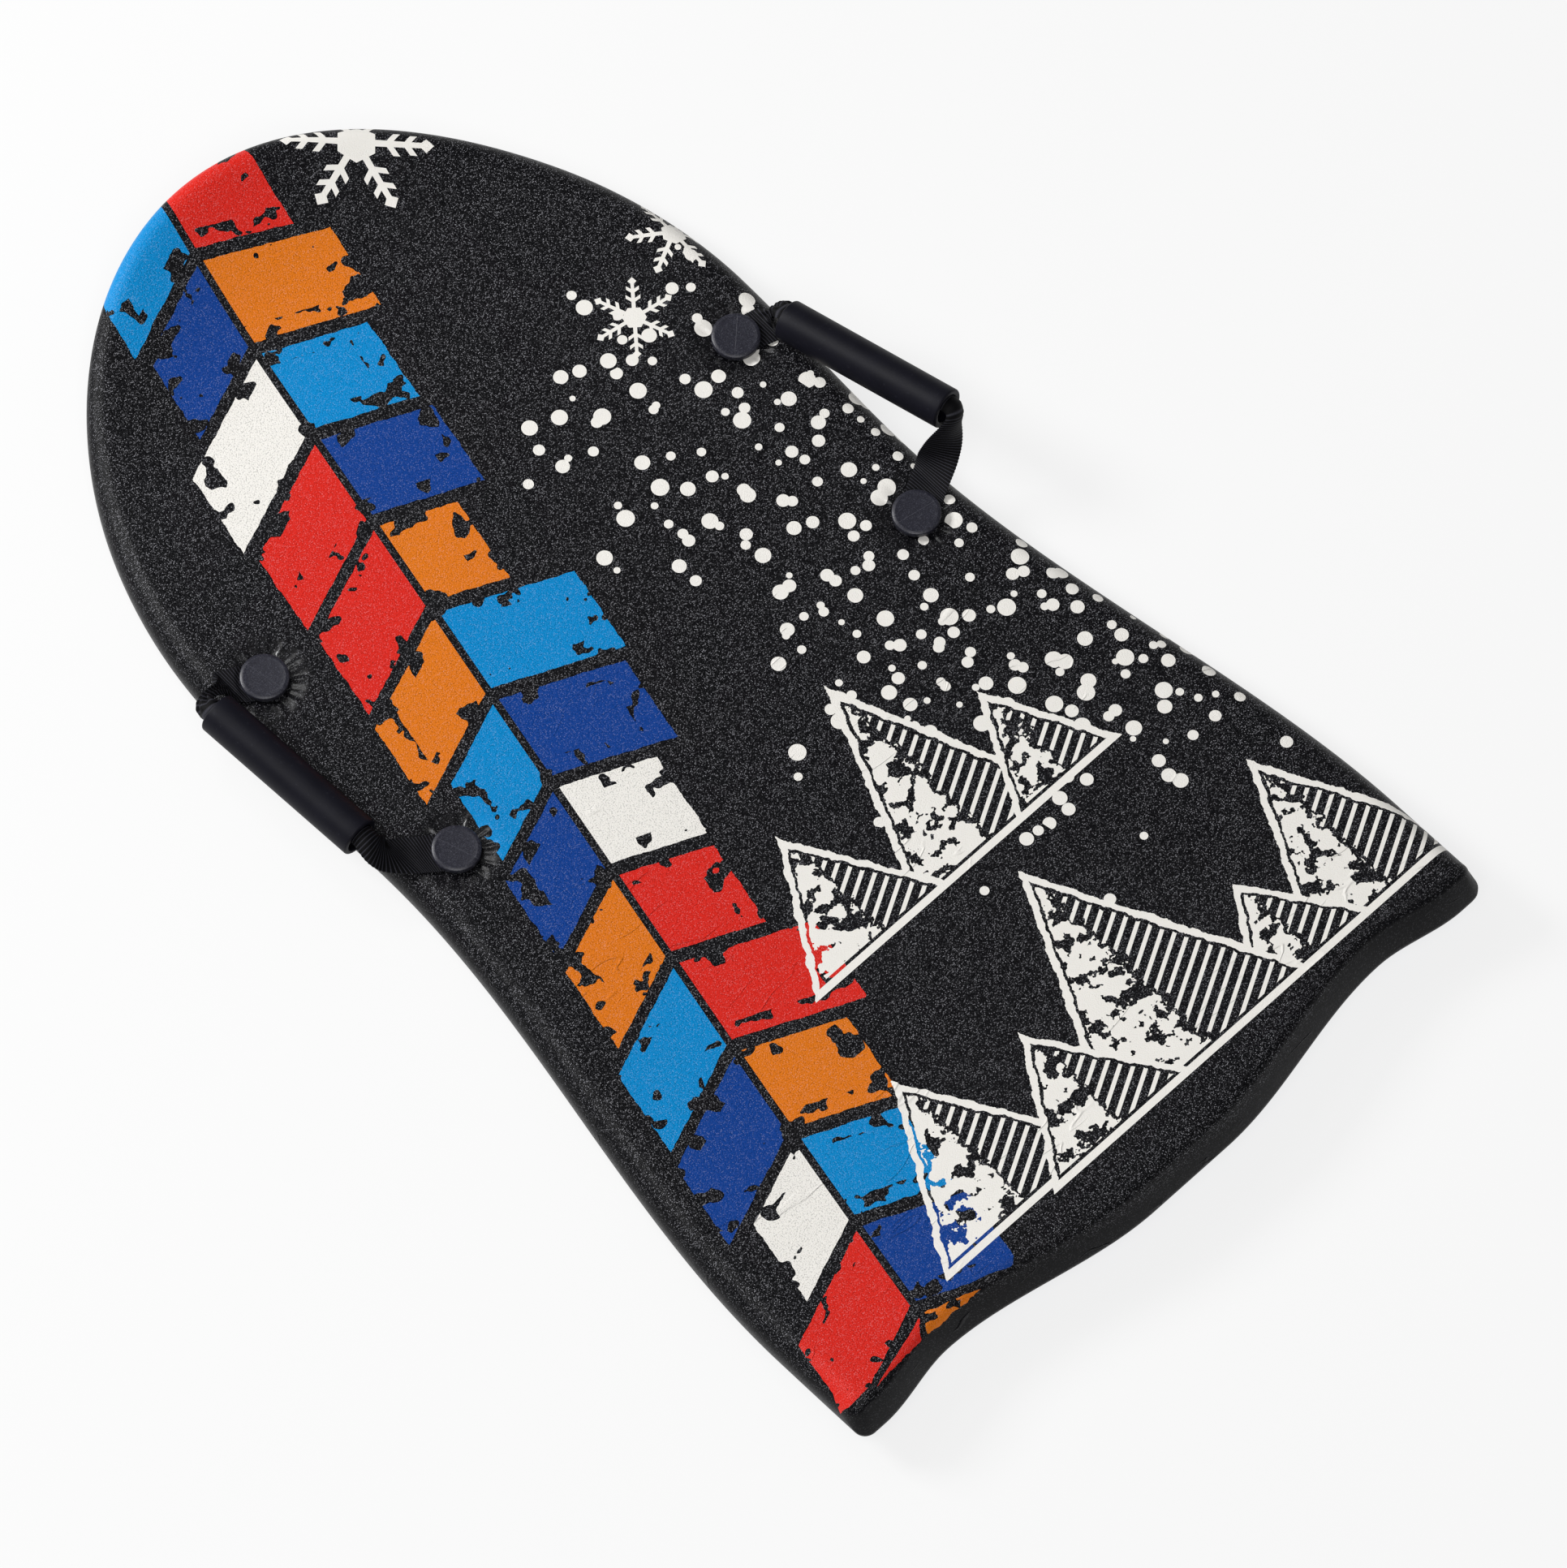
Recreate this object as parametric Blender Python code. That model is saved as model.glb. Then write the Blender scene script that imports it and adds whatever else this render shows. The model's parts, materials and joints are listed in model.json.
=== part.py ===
"""Foam snow slider board with a wrapped deck film, a slick bottom and two webbing handles.

The board lies flat on its slick bottom, deck up. +Y points to the nose and +X to the right.
Stations are measured from the tail, and one empty at the end moves them to the board's middle.
"""

import math

import bmesh
import bpy
from mathutils import Matrix, Quaternion, Vector

# Outline, seen from above
LENGTH = 0.9046
TAIL_HALF_WIDTH = 0.2646
WAIST_HALF_WIDTH = 0.2167
SHOULDER_HALF_WIDTH = 0.2214
FLARE_START = 0.089
FLARE_END = 0.480
NOSE_START = 0.6275
NOSE_FULLNESS = 1.9
TAIL_BELLY_X = 0.031
TAIL_NOTCH_INSET = 0.0806
TAIL_NOTCH_DEPTH = 0.0225
TAIL_HORN_INSET = 0.0192
TAIL_HORN_DEPTH = 0.0133
CORNER_RADIUS = 0.008

# How far the two ends curve up from the flat middle
NOSE_LIFT = 0.0293
NOSE_LIFT_START = 0.760
NOSE_LIFT_CUTS = 6
TAIL_LIFT = 0.017
TAIL_LIFT_START = 0.300
TAIL_LIFT_CUTS = 6
CUT_TOLERANCE = 0.002

# Thickness and edges
THICKNESS = 0.030
NOSE_THICKNESS = 0.026
SLOPE_START = 0.668
SLOPE_POWER = 1.5
RAIL_TOP_RADIUS = 0.016
RAIL_BOTTOM_RADIUS = 0.010
TAIL_BOTTOM_RADIUS = 0.005
TAIL_FOLD_RADIUS = 0.009
TAIL_LEAN = math.radians(27)

# Sheets
SKIN_THICKNESS = 0.0015
SLICK_THICKNESS = 0.0015
GAP = 0.0003

# Plugs and barrel nuts
HEAD_RADIUS = 0.0155
HEAD_HEIGHT = 0.0046
HEAD_EDGE = 0.0014
SCREW_RADIUS = 0.005
SCREW_END_CLEARANCE = 0.002
SLEEVE_RADIUS = 0.008
FLANGE_RADIUS = 0.016
FLANGE_THICKNESS = 0.0022
FLANGE_RECESS = 0.0003
FLANGE_EDGE = 0.0006
NUT_FLOOR = 0.0025
COIN_SLOT_LENGTH = 0.020
COIN_SLOT_WIDTH = 0.0024
COIN_SLOT_DEPTH = 0.0012
DIMPLE_DEPTH = 0.0012
DIMPLE_SLOPE = 0.0015
DISH_SLOPE = 0.006
SEAT_MARGIN = 0.0006

# Straps and grips
STRAP_WIDTH = 0.025
STRAP_THICKNESS = 0.0013
STRAP_TAIL = 0.0085
CREASE_LEAD = 0.0014
MOUTH_LEAD = 0.004
CURL_START = 0.2
BUNCH_SPAN = 0.35
GRIP_LENGTH = 0.124
GRIP_RADIUS = 0.0135
GRIP_WALL = 0.004
GRIP_EDGE = 0.001

# How finely the curves are divided
NOSE_STEPS = 13
SIDE_STEPS = 12
CORNER_STEPS = 4
TAIL_STEPS = 13
BOTTOM_ARC_STEPS = 2
TOP_ARC_STEPS = 4
DIMPLE_SEGMENTS = 20
ROUND_SEGMENTS = 24
EDGE_STEPS = 2
STRAP_ACROSS = 6
LEG_STEPS = 12
GRIP_STEPS = 4


def strap_leg(heading, climb, gather, twist, first_reach, last_reach):
    """How a strap leg leaves its plug, how it is bunched and twisted, and how it bends."""
    return {
        "heading": math.radians(heading),
        "climb": math.radians(climb),
        "gather": math.radians(gather),
        "twist": math.radians(twist),
        "reach": (first_reach, last_reach),
    }


# How each handle lies. A margin is how much farther in its plug sits than it must. A mouth is
# the grip's front end: out from the crease, ahead of the front plug, and the grip's underside
# over the deck. Splay turns the grip outward and rise lifts it, towards the rear.
HANDLES = {
    "right": {
        "side": 1,
        "front_station": 0.5965,
        "front_margin": 0.0013,
        "rear_margin": 0.0011,
        "spare_strap": 0.040,
        "mouth": (0.0089, -0.0166, -0.0006),
        "splay": math.radians(10.5),
        "rise": math.radians(10.5),
        "front": strap_leg(-18, 8, 52, -90, 0.010, 0.006),
        "rear": strap_leg(26, 20, 0, 90, 0.020, 0.005),
    },
    "left": {
        "side": -1,
        "front_station": 0.6280,
        "front_margin": 0.0018,
        "rear_margin": 0.0044,
        "spare_strap": 0.041,
        "mouth": (0.0197, 0.0018, -0.0060),
        "splay": math.radians(-2.5),
        "rise": math.radians(2.1),
        "front": strap_leg(28, 18, 58, -90, 0.010, 0.006),
        "rear": strap_leg(36, 15, 0, 0, 0.020, 0.012),
    },
}

COLOURS = {
    "deck_film": ((0.022, 0.022, 0.026), 0.45),
    "foam": ((0.86, 0.87, 0.86), 0.90),
    "slick": ((0.020, 0.045, 0.140), 0.28),
    "plug": ((0.016, 0.017, 0.022), 0.55),
    "webbing": ((0.009, 0.009, 0.012), 0.75),
    "grip": ((0.010, 0.010, 0.013), 0.50),
}


def clear_scene():
    for obj in list(bpy.data.objects):
        bpy.data.objects.remove(obj, do_unlink=True)


def material(name):
    """The Principled material of this name, made the first time it is asked for."""
    found = bpy.data.materials.get(name)
    if found:
        return found
    colour, roughness = COLOURS[name]
    made = bpy.data.materials.new(name)
    made.use_nodes = True
    shader = made.node_tree.nodes["Principled BSDF"]
    shader.inputs["Base Color"].default_value = (*colour, 1)
    shader.inputs["Roughness"].default_value = roughness
    shader.inputs["Metallic"].default_value = 0
    return made


def add_empty(name, location, parent=None):
    empty = bpy.data.objects.new(name, None)
    empty.location = location
    empty.parent = parent
    bpy.context.scene.collection.objects.link(empty)
    return empty


def add_solid(name, bm, finish, parent, location=(0, 0, 0), rotation=None):
    """A named object from a closed bmesh, shaded smooth, with its faces turned outwards."""
    bmesh.ops.recalc_face_normals(bm, faces=bm.faces)
    mesh = bpy.data.meshes.new(name)
    bm.to_mesh(mesh)
    bm.free()
    mesh.materials.append(material(finish))
    mesh.shade_smooth()
    mesh.set_sharp_from_angle(angle=math.radians(35))
    obj = bpy.data.objects.new(name, mesh)
    obj.location = location
    if rotation:
        obj.rotation_mode = "QUATERNION"
        obj.rotation_quaternion = rotation
    obj.parent = parent
    bpy.context.scene.collection.objects.link(obj)
    return obj


def ease(t):
    """0 to 1 with a level start and end."""
    t = min(max(t, 0.0), 1.0)
    return t * t * (3 - 2 * t)


def bridge(bm, first, second, closed=True):
    """Quads between two rows of the same number of vertices."""
    count = len(first)
    for i in range(count if closed else count - 1):
        j = (i + 1) % count
        corners = [first[i], first[j], second[j], second[i]]
        bm.faces.new(dict.fromkeys(corners))


# Outline


def half_width(y):
    """Half of the board's width at a station between the tail and the nose curve."""
    flare = ease((y - FLARE_START) / (FLARE_END - FLARE_START))
    shoulder = ease((y - FLARE_END) / (NOSE_START - FLARE_END))
    width = TAIL_HALF_WIDTH + (WAIST_HALF_WIDTH - TAIL_HALF_WIDTH) * flare
    return width + (SHOULDER_HALF_WIDTH - WAIST_HALF_WIDTH) * shoulder


def tail_edge(x):
    """Station of the tail's edge: a round belly, a notch and a pointed horn on each side."""
    x = abs(x)
    notch_x = TAIL_HALF_WIDTH - TAIL_NOTCH_INSET
    horn_x = TAIL_HALF_WIDTH - TAIL_HORN_INSET
    notch = TAIL_NOTCH_DEPTH * ease((x - TAIL_BELLY_X) / (notch_x - TAIL_BELLY_X))
    horn = ease((x - notch_x) / (horn_x - notch_x))
    return notch + (TAIL_HORN_DEPTH - TAIL_NOTCH_DEPTH) * horn


def tail_inward(x):
    """Unit vector that points into the board from the tail's edge."""
    step = 1e-4
    slope = (tail_edge(x + step) - tail_edge(x - step)) / (2 * step)
    return Vector((-slope, 1)).normalized()


def side_points():
    """Right edge from the nose tip to where the tail's flare is full, with inward vectors."""
    points = []
    for i in range(NOSE_STEPS):
        angle = math.pi / 2 * (1 - i / NOSE_STEPS)
        ahead = math.sin(angle) ** (2 / NOSE_FULLNESS)
        y = NOSE_START + (LENGTH - NOSE_START) * ahead
        points.append(Vector((SHOULDER_HALF_WIDTH * math.cos(angle), y)))
    points[0].x = 0.0
    for i in range(SIDE_STEPS + 1):
        y = NOSE_START + (FLARE_START - NOSE_START) * i / SIDE_STEPS
        points.append(Vector((half_width(y), y)))
    inward = [Vector((0, -1))]
    for before, after in zip(points, points[2:]):
        along = after - before
        inward.append(Vector((along.y, -along.x)).normalized())
    inward.append(Vector((-1, 0)))
    return list(zip(points, inward))


def thinness(y):
    """Share of the full thickness that the board has at a station."""
    t = max(0.0, (y - SLOPE_START) / (LENGTH - SLOPE_START))
    return 1 - (1 - NOSE_THICKNESS / THICKNESS) * t**SLOPE_POWER


def lift(y):
    """How far the board is curved up at a station."""
    nose = max(0.0, (y - NOSE_LIFT_START) / (LENGTH - NOSE_LIFT_START))
    tail = max(0.0, (TAIL_LIFT_START - y) / TAIL_LIFT_START)
    return NOSE_LIFT * nose**2 + TAIL_LIFT * tail**2


def curve_ends(bm):
    """Cuts a flat shape across at the curved ends, and lifts it there."""
    stations = [TAIL_LIFT_START * i / TAIL_LIFT_CUTS for i in range(1, TAIL_LIFT_CUTS + 1)]
    span = LENGTH - NOSE_LIFT_START
    stations += [NOSE_LIFT_START + span * i / NOSE_LIFT_CUTS for i in range(NOSE_LIFT_CUTS)]
    for y in stations:
        shape = bm.verts[:] + bm.edges[:] + bm.faces[:]
        bmesh.ops.bisect_plane(
            bm, geom=shape, dist=CUT_TOLERANCE, plane_co=(0, y, 0), plane_no=(0, 1, 0)
        )
    for vertex in bm.verts:
        vertex.co.z += lift(vertex.co.y)
    bm.normal_update()


# Edge profile: each level is (inset, height, inward inset, inward height)


def arc_levels(centre, radius, start, end, steps):
    levels = []
    for i in range(steps + 1):
        angle = start + (end - start) * i / steps
        inset = centre[0] - radius * math.cos(angle)
        height = centre[1] + radius * math.sin(angle)
        levels.append((inset, height, math.cos(angle), -math.sin(angle)))
    return levels


def rail_top_radius():
    """The rail's upper round, as far as the thickness leaves room for it."""
    return min(RAIL_TOP_RADIUS, THICKNESS - RAIL_BOTTOM_RADIUS - GAP)


def rail_levels():
    """Rounded rail, from the bottom sheet's edge up to the deck."""
    top_radius = rail_top_radius()
    low = (RAIL_BOTTOM_RADIUS, RAIL_BOTTOM_RADIUS)
    high = (top_radius, THICKNESS - top_radius)
    quarter = math.pi / 2
    return arc_levels(low, RAIL_BOTTOM_RADIUS, -quarter, 0, BOTTOM_ARC_STEPS) + arc_levels(
        high, top_radius, 0, quarter, TOP_ARC_STEPS
    )


def tail_levels():
    """Tail face that leans in as it rises, and folds over to the deck."""
    sine, cosine = math.sin(TAIL_LEAN), math.cos(TAIL_LEAN)
    low = (TAIL_BOTTOM_RADIUS, TAIL_BOTTOM_RADIUS)
    fold_z = THICKNESS - TAIL_FOLD_RADIUS
    foot = TAIL_BOTTOM_RADIUS * (1 - cosine + sine)
    fold = ((fold_z * sine + TAIL_FOLD_RADIUS - foot) / cosine, fold_z)
    quarter = math.pi / 2
    return arc_levels(low, TAIL_BOTTOM_RADIUS, -quarter, TAIL_LEAN, BOTTOM_ARC_STEPS) + arc_levels(
        fold, TAIL_FOLD_RADIUS, TAIL_LEAN, quarter, TOP_ARC_STEPS
    )


def corner_centre(side_inset, tail_inset, radius):
    """Centre of the round at the tail corner, and where it meets the tail's edge."""
    x = TAIL_HALF_WIDTH - side_inset - radius
    low, high = 0.0, TAIL_HALF_WIDTH
    for _ in range(40):
        middle = (low + high) / 2
        reached = middle + tail_inward(middle).x * (tail_inset + radius)
        low, high = (middle, high) if reached < x else (low, middle)
    meeting = (low + high) / 2
    y = tail_edge(meeting) + tail_inward(meeting).y * (tail_inset + radius)
    return Vector((x, y)), meeting


def edge_loop(rail, tail, depth, least_z=0.0):
    """Closed loop of points round the board at one level, moved in by a depth."""
    side_inset = rail[0] + depth * rail[2]
    tail_inset = tail[0] + depth * tail[2]
    tail_z = max(tail[1] + depth * tail[3], least_z)
    radius = max(CORNER_RADIUS - depth, CORNER_RADIUS / 4)
    half = []
    for point, inward in side_points():
        share = thinness(point.y)
        place = point + inward * (rail[0] * share + depth * rail[2])
        half.append((place.x, place.y, max(rail[1] * share + depth * rail[3], least_z)))
    rail_z = half[-1][2]
    centre, meeting = corner_centre(side_inset, tail_inset, radius)
    outward = -tail_inward(meeting)
    end_angle = math.atan2(outward.y, outward.x)
    for i in range(CORNER_STEPS + 1):
        angle = end_angle * i / CORNER_STEPS
        z = rail_z + (tail_z - rail_z) * i / CORNER_STEPS
        half.append((centre.x + radius * math.cos(angle), centre.y + radius * math.sin(angle), z))
    for i in range(1, TAIL_STEPS + 1):
        x = meeting * (1 - i / TAIL_STEPS)
        place = Vector((x, tail_edge(x))) + tail_inward(x) * tail_inset
        half.append((place.x, place.y, tail_z))
    mirrored = [(-x, y, z) for x, y, z in half[-2:0:-1]]
    return half + mirrored


def edge_wall(bm, depth, least_z=0.0):
    """The board's edge from the bottom to the deck, as a list of vertex loops."""
    loops = []
    for rail, tail in zip(rail_levels(), tail_levels()):
        loops.append([bm.verts.new(p) for p in edge_loop(rail, tail, depth, least_z)])
    for low, high in zip(loops, loops[1:]):
        bridge(bm, low, high)
    return loops


# Where the handles are fastened


def dimple_radius():
    """Outer radius of the deck's dimple round a plug head."""
    return HEAD_RADIUS + SEAT_MARGIN + DIMPLE_SLOPE


def dish_radius():
    """Outer radius of the bottom's dish round a nut's flange."""
    return FLANGE_RADIUS + GAP + DISH_SLOPE


def plug_inset():
    """How far inside the board's side a plug must sit for its dimple and its dish."""
    deck = rail_top_radius() + dimple_radius()
    bottom = RAIL_BOTTOM_RADIUS + GAP + dish_radius()
    return max(deck, bottom)


def plug_places(handle):
    """Front and rear plug of a handle, as if it were the right one."""
    front_y = handle["front_station"]
    rear_y = front_y - GRIP_LENGTH - handle["spare_strap"]
    front_x = half_width(front_y) - plug_inset() - handle["front_margin"]
    rear_x = half_width(rear_y) - plug_inset() - handle["rear_margin"]
    return {"front": Vector((front_x, front_y)), "rear": Vector((rear_x, rear_y))}


def crease_x(handle):
    """Distance from the board's middle of the line that a handle swings about."""
    farthest = max(place.x for place in plug_places(handle).values())
    return farthest + dimple_radius() + CREASE_LEAD


def crease_z():
    """Height of the line that a handle swings about."""
    return THICKNESS + GAP + STRAP_THICKNESS / 2


def plug_stations():
    """Name, x and y of each plug."""
    for side_name, handle in HANDLES.items():
        for end, place in plug_places(handle).items():
            yield f"{side_name}_{end}", handle["side"] * place.x, place.y


# Plates


def circle(bm, x, y, z, radius, segments=DIMPLE_SEGMENTS):
    turn = 2 * math.pi / segments
    return [
        bm.verts.new((x + radius * math.cos(turn * i), y + radius * math.sin(turn * i), z))
        for i in range(segments)
    ]


def dimpled_plate(bm, boundary, z, depth, seat_radius, slope):
    """Fills a boundary with a plate pressed in by a depth round each plug hole."""
    rings = ((seat_radius + slope, 0.0), (seat_radius, depth), (hole_radius(), depth))
    outer, holes = [], []
    for _, x, y in plug_stations():
        loops = [circle(bm, x, y, z + pressed, radius) for radius, pressed in rings]
        for wide, narrow in zip(loops, loops[1:]):
            bridge(bm, wide, narrow)
        outer.append(loops[0])
        holes.append(loops[-1])
    edges = []
    for loop in [boundary] + outer:
        for a, b in zip(loop, loop[1:] + loop[:1]):
            edges.append(bm.edges.get((a, b)) or bm.edges.new((a, b)))
    bmesh.ops.triangle_fill(bm, use_beauty=True, edges=edges, normal=(0, 0, 1))
    return holes


def deck_plate(bm, boundary, z):
    seat_radius = dimple_radius() - DIMPLE_SLOPE
    return dimpled_plate(bm, boundary, z, -DIMPLE_DEPTH, seat_radius, DIMPLE_SLOPE)


def bottom_plate(bm, boundary, z):
    seat_radius = dish_radius() - DISH_SLOPE
    return dimpled_plate(bm, boundary, z, dish_depth(), seat_radius, DISH_SLOPE)


def fill_deck(bm, loop, depth):
    """Deck inside its edge loop: straight strips across the nose, and a dimpled plate behind."""
    count = len(loop)
    first = next(i for i in range(1, count) if loop[i].co.y < SLOPE_START) - 1
    bm.faces.new((loop[0], loop[1], loop[-1]))
    for i in range(1, first):
        bm.faces.new((loop[i], loop[i + 1], loop[-i - 1], loop[-i]))
    boundary = loop[first : count - first + 1]
    return deck_plate(bm, boundary, THICKNESS - depth)


def bridge_holes(bm, upper, lower):
    for top, bottom in zip(upper, lower):
        bridge(bm, top, bottom)


def hole_radius():
    return SLEEVE_RADIUS + GAP


def dish_depth():
    """How far the slick bottom is pressed up to sink the nuts' flanges."""
    return FLANGE_RECESS + FLANGE_THICKNESS + GAP


def slick_outline(z):
    """The slick sheet's edge, a gap inside the skin's lip."""
    rail, tail = rail_levels()[0], tail_levels()[0]
    places = edge_loop((rail[0] + GAP, 0, 0, 0), (tail[0] + GAP, 0, 0, 0), 0.0)
    return [(x, y, z) for x, y, _ in places]


def build_deck_skin(board):
    """Film over the deck, rails and tail, with a lip turned under the board."""
    bm = bmesh.new()
    outside = edge_wall(bm, 0.0)
    inside = edge_wall(bm, SKIN_THICKNESS)
    bridge(bm, outside[0], inside[0])
    upper = fill_deck(bm, outside[-1], 0.0)
    lower = fill_deck(bm, inside[-1], SKIN_THICKNESS)
    bridge_holes(bm, upper, lower)
    curve_ends(bm)
    add_solid("deck_skin", bm, "deck_film", board)


def build_foam_core(board):
    """Foam slab that fills the skin and rests on the slick sheet."""
    depth = SKIN_THICKNESS + GAP
    floor_z = SLICK_THICKNESS + GAP
    bm = bmesh.new()
    wall = edge_wall(bm, depth, floor_z)
    foot = [bm.verts.new(place) for place in slick_outline(floor_z)]
    bridge(bm, foot, wall[0])
    upper = fill_deck(bm, wall[-1], depth)
    lower = bottom_plate(bm, foot, floor_z)
    bridge_holes(bm, upper, lower)
    curve_ends(bm)
    add_solid("foam_core", bm, "foam", board)


def build_slick_sheet(board):
    """Slick plastic bottom sheet inside the skin's lip, pressed up round each nut."""
    bm = bmesh.new()
    low = [bm.verts.new(place) for place in slick_outline(0.0)]
    high = [bm.verts.new(place) for place in slick_outline(SLICK_THICKNESS)]
    bridge(bm, low, high)
    lower = bottom_plate(bm, low, 0.0)
    upper = bottom_plate(bm, high, SLICK_THICKNESS)
    bridge_holes(bm, upper, lower)
    curve_ends(bm)
    add_solid("slick_sheet", bm, "slick", board)


# Turned pieces


def turned(profile, closed=False):
    """Solid of revolution about Z. An open profile starts and ends on the axis."""
    bm = bmesh.new()
    turn = 2 * math.pi / ROUND_SEGMENTS
    rings = []
    for radius, z in profile:
        if radius == 0:
            pole = bm.verts.new((0, 0, z))
            rings.append([pole] * ROUND_SEGMENTS)
        else:
            rings.append(circle(bm, 0, 0, z, radius, ROUND_SEGMENTS))
    for first, second in zip(rings, rings[1:]):
        bridge(bm, first, second)
    if closed:
        bridge(bm, rings[-1], rings[0])
    return bm


def rounded_corner(radius, z, edge, start, end):
    """Points round a turned edge whose arc centre is at this radius and height."""
    points = []
    for i in range(EDGE_STEPS + 1):
        angle = start + (end - start) * i / EDGE_STEPS
        points.append((radius + edge * math.cos(angle), z + edge * math.sin(angle)))
    return points


def strap_seat():
    """Height of the strap's underside where a plug head clamps it."""
    return THICKNESS - DIMPLE_DEPTH + GAP


def head_seat():
    """Height of a plug head's underside."""
    return strap_seat() + STRAP_THICKNESS + GAP


def nut_floor():
    """Height of the blind bore's end in a nut."""
    return FLANGE_RECESS + FLANGE_THICKNESS + NUT_FLOOR


def build_plug(name, x, y, board):
    """Plug with a low round head and a screw that reaches down into its nut."""
    quarter = math.pi / 2
    top = HEAD_HEIGHT
    end = nut_floor() + SCREW_END_CLEARANCE - head_seat()
    rim = rounded_corner(HEAD_RADIUS - HEAD_EDGE, top - HEAD_EDGE, HEAD_EDGE, quarter, 0)
    shank = [(SCREW_RADIUS, 0), (SCREW_RADIUS, end + GAP), (SCREW_RADIUS - GAP, end)]
    profile = [(0, top)] + rim + [(HEAD_RADIUS, 0)] + shank + [(0, end)]
    add_solid(f"{name}_plug", turned(profile), "plug", board, (x, y, head_seat()))


def build_nut(name, x, y, board):
    """Barrel nut: a sunk flange with a coin slot, and a sleeve up to the strap's top face."""
    sleeve_top = head_seat() - GAP
    bore = SCREW_RADIUS + GAP
    flange_top = FLANGE_RECESS + FLANGE_THICKNESS
    profile = [
        (0, FLANGE_RECESS),
        (FLANGE_RADIUS - FLANGE_EDGE, FLANGE_RECESS),
        (FLANGE_RADIUS, FLANGE_RECESS + FLANGE_EDGE),
        (FLANGE_RADIUS, flange_top),
        (SLEEVE_RADIUS, flange_top),
        (SLEEVE_RADIUS, sleeve_top),
        (bore, sleeve_top),
        (bore, nut_floor()),
        (0, nut_floor()),
    ]
    nut = add_solid(f"{name}_nut", turned(profile), "plug", board, (x, y, 0))
    slot = bmesh.new()
    size = Matrix.Diagonal((COIN_SLOT_LENGTH, COIN_SLOT_WIDTH, 2 * COIN_SLOT_DEPTH, 1))
    bmesh.ops.create_cube(slot, size=1, matrix=size)
    cutter = add_solid(f"{name}_coin_slot", slot, "plug", board, (x, y, FLANGE_RECESS))
    cut_with(nut, cutter, "DIFFERENCE")


def cut_with(obj, cutter, operation):
    """Cuts an object with a hidden helper."""
    cutter.hide_render = True
    cutter.display_type = "WIRE"
    modifier = obj.modifiers.new(operation.title(), "BOOLEAN")
    modifier.operation = operation
    modifier.solver = "EXACT"
    modifier.object = cutter


# Handles: worked out with +X outward from the board's middle, and mirrored for the left


def build_strap_end(name, handle, place, heading, board):
    """Strap end clamped under a plug head: a sheet that follows the dimple, cut to the strap."""
    low, high = strap_seat(), THICKNESS + GAP
    ramp_start = HEAD_RADIUS + GAP
    far = 2 * STRAP_WIDTH
    under = [(hole_radius(), low), (ramp_start, low), (dimple_radius(), high), (far, high)]
    over = [(radius, z + STRAP_THICKNESS) for radius, z in reversed(under)]
    side = handle["side"]
    centre = (side * place.x, place.y, 0)
    sheet = add_solid(f"{name}_strap_end", turned(under + over, True), "webbing", board, centre)
    reach = crease_x(handle) - place.x - STRAP_THICKNESS / 2 - GAP
    slant = math.tan(heading)
    half = STRAP_WIDTH / 2
    stretch = half / math.cos(heading)
    back = Vector((-STRAP_TAIL * math.cos(heading), -STRAP_TAIL * math.sin(heading)))
    across = Vector((-math.sin(heading), math.cos(heading))) * half
    corners = [
        back + across,
        back - across,
        Vector((reach, reach * slant - stretch)),
        Vector((reach, reach * slant + stretch)),
    ]
    outline = bmesh.new()
    loops = []
    for z in (0, 2 * THICKNESS):
        loops.append([outline.verts.new((side * c.x, c.y, z)) for c in corners])
    bridge(outline, *loops)
    for loop in loops:
        outline.faces.new(loop)
    cutter = add_solid(f"{name}_strap_outline", outline, "webbing", board, centre)
    cut_with(sheet, cutter, "INTERSECT")


def curve_point(ends, t):
    """Point and direction on a cubic curve at t."""
    a, b, c, d = ends
    s = 1 - t
    point = a * s**3 + b * (3 * s * s * t) + c * (3 * s * t * t) + d * t**3
    along = (b - a) * (s * s) + (c - b) * (2 * s * t) + (d - c) * (t * t)
    return point, along.normalized()


def leg_frames(crease, plug, leg, mouth, inward):
    """Frames along a strap leg from its crease to the grip's mouth.

    Each is (point, along, up, share of the way, curl, fold), with the point on the middle line.
    """
    heading, climb = leg["heading"], leg["climb"]
    flat = Vector((math.cos(heading), math.sin(heading), 0))
    ahead = flat * math.cos(climb) + Vector((0, 0, math.sin(climb)))
    start_y = plug.y + (crease - plug.x) * math.tan(heading)
    start = Vector((crease, start_y, crease_z()))
    first, last = leg["reach"]
    rolled = mouth - inward * MOUTH_LEAD
    ends = (start, start + ahead * first, rolled - inward * last, rolled)
    up = Vector((0, 0, 1))
    frames = []
    for i in range(LEG_STEPS + 1):
        t = i / LEG_STEPS
        point, along = curve_point(ends, t)
        up = (up - along * up.dot(along)).normalized()
        curl = ease((t - CURL_START) / (1 - CURL_START)) / strap_roll()
        fold = leg["gather"] * ease(t / BUNCH_SPAN) * ease((1 - t) / BUNCH_SPAN)
        outer = Quaternion(along, leg["twist"] * ease(t)) @ up
        frames.append((point + outer * strap_roll() * ease(t), along, outer, t, curl, fold))
    return frames


def strap_roll():
    """Radius that the strap is rolled to inside a grip."""
    return GRIP_RADIUS - GRIP_WALL - GAP - STRAP_THICKNESS / 2


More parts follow.
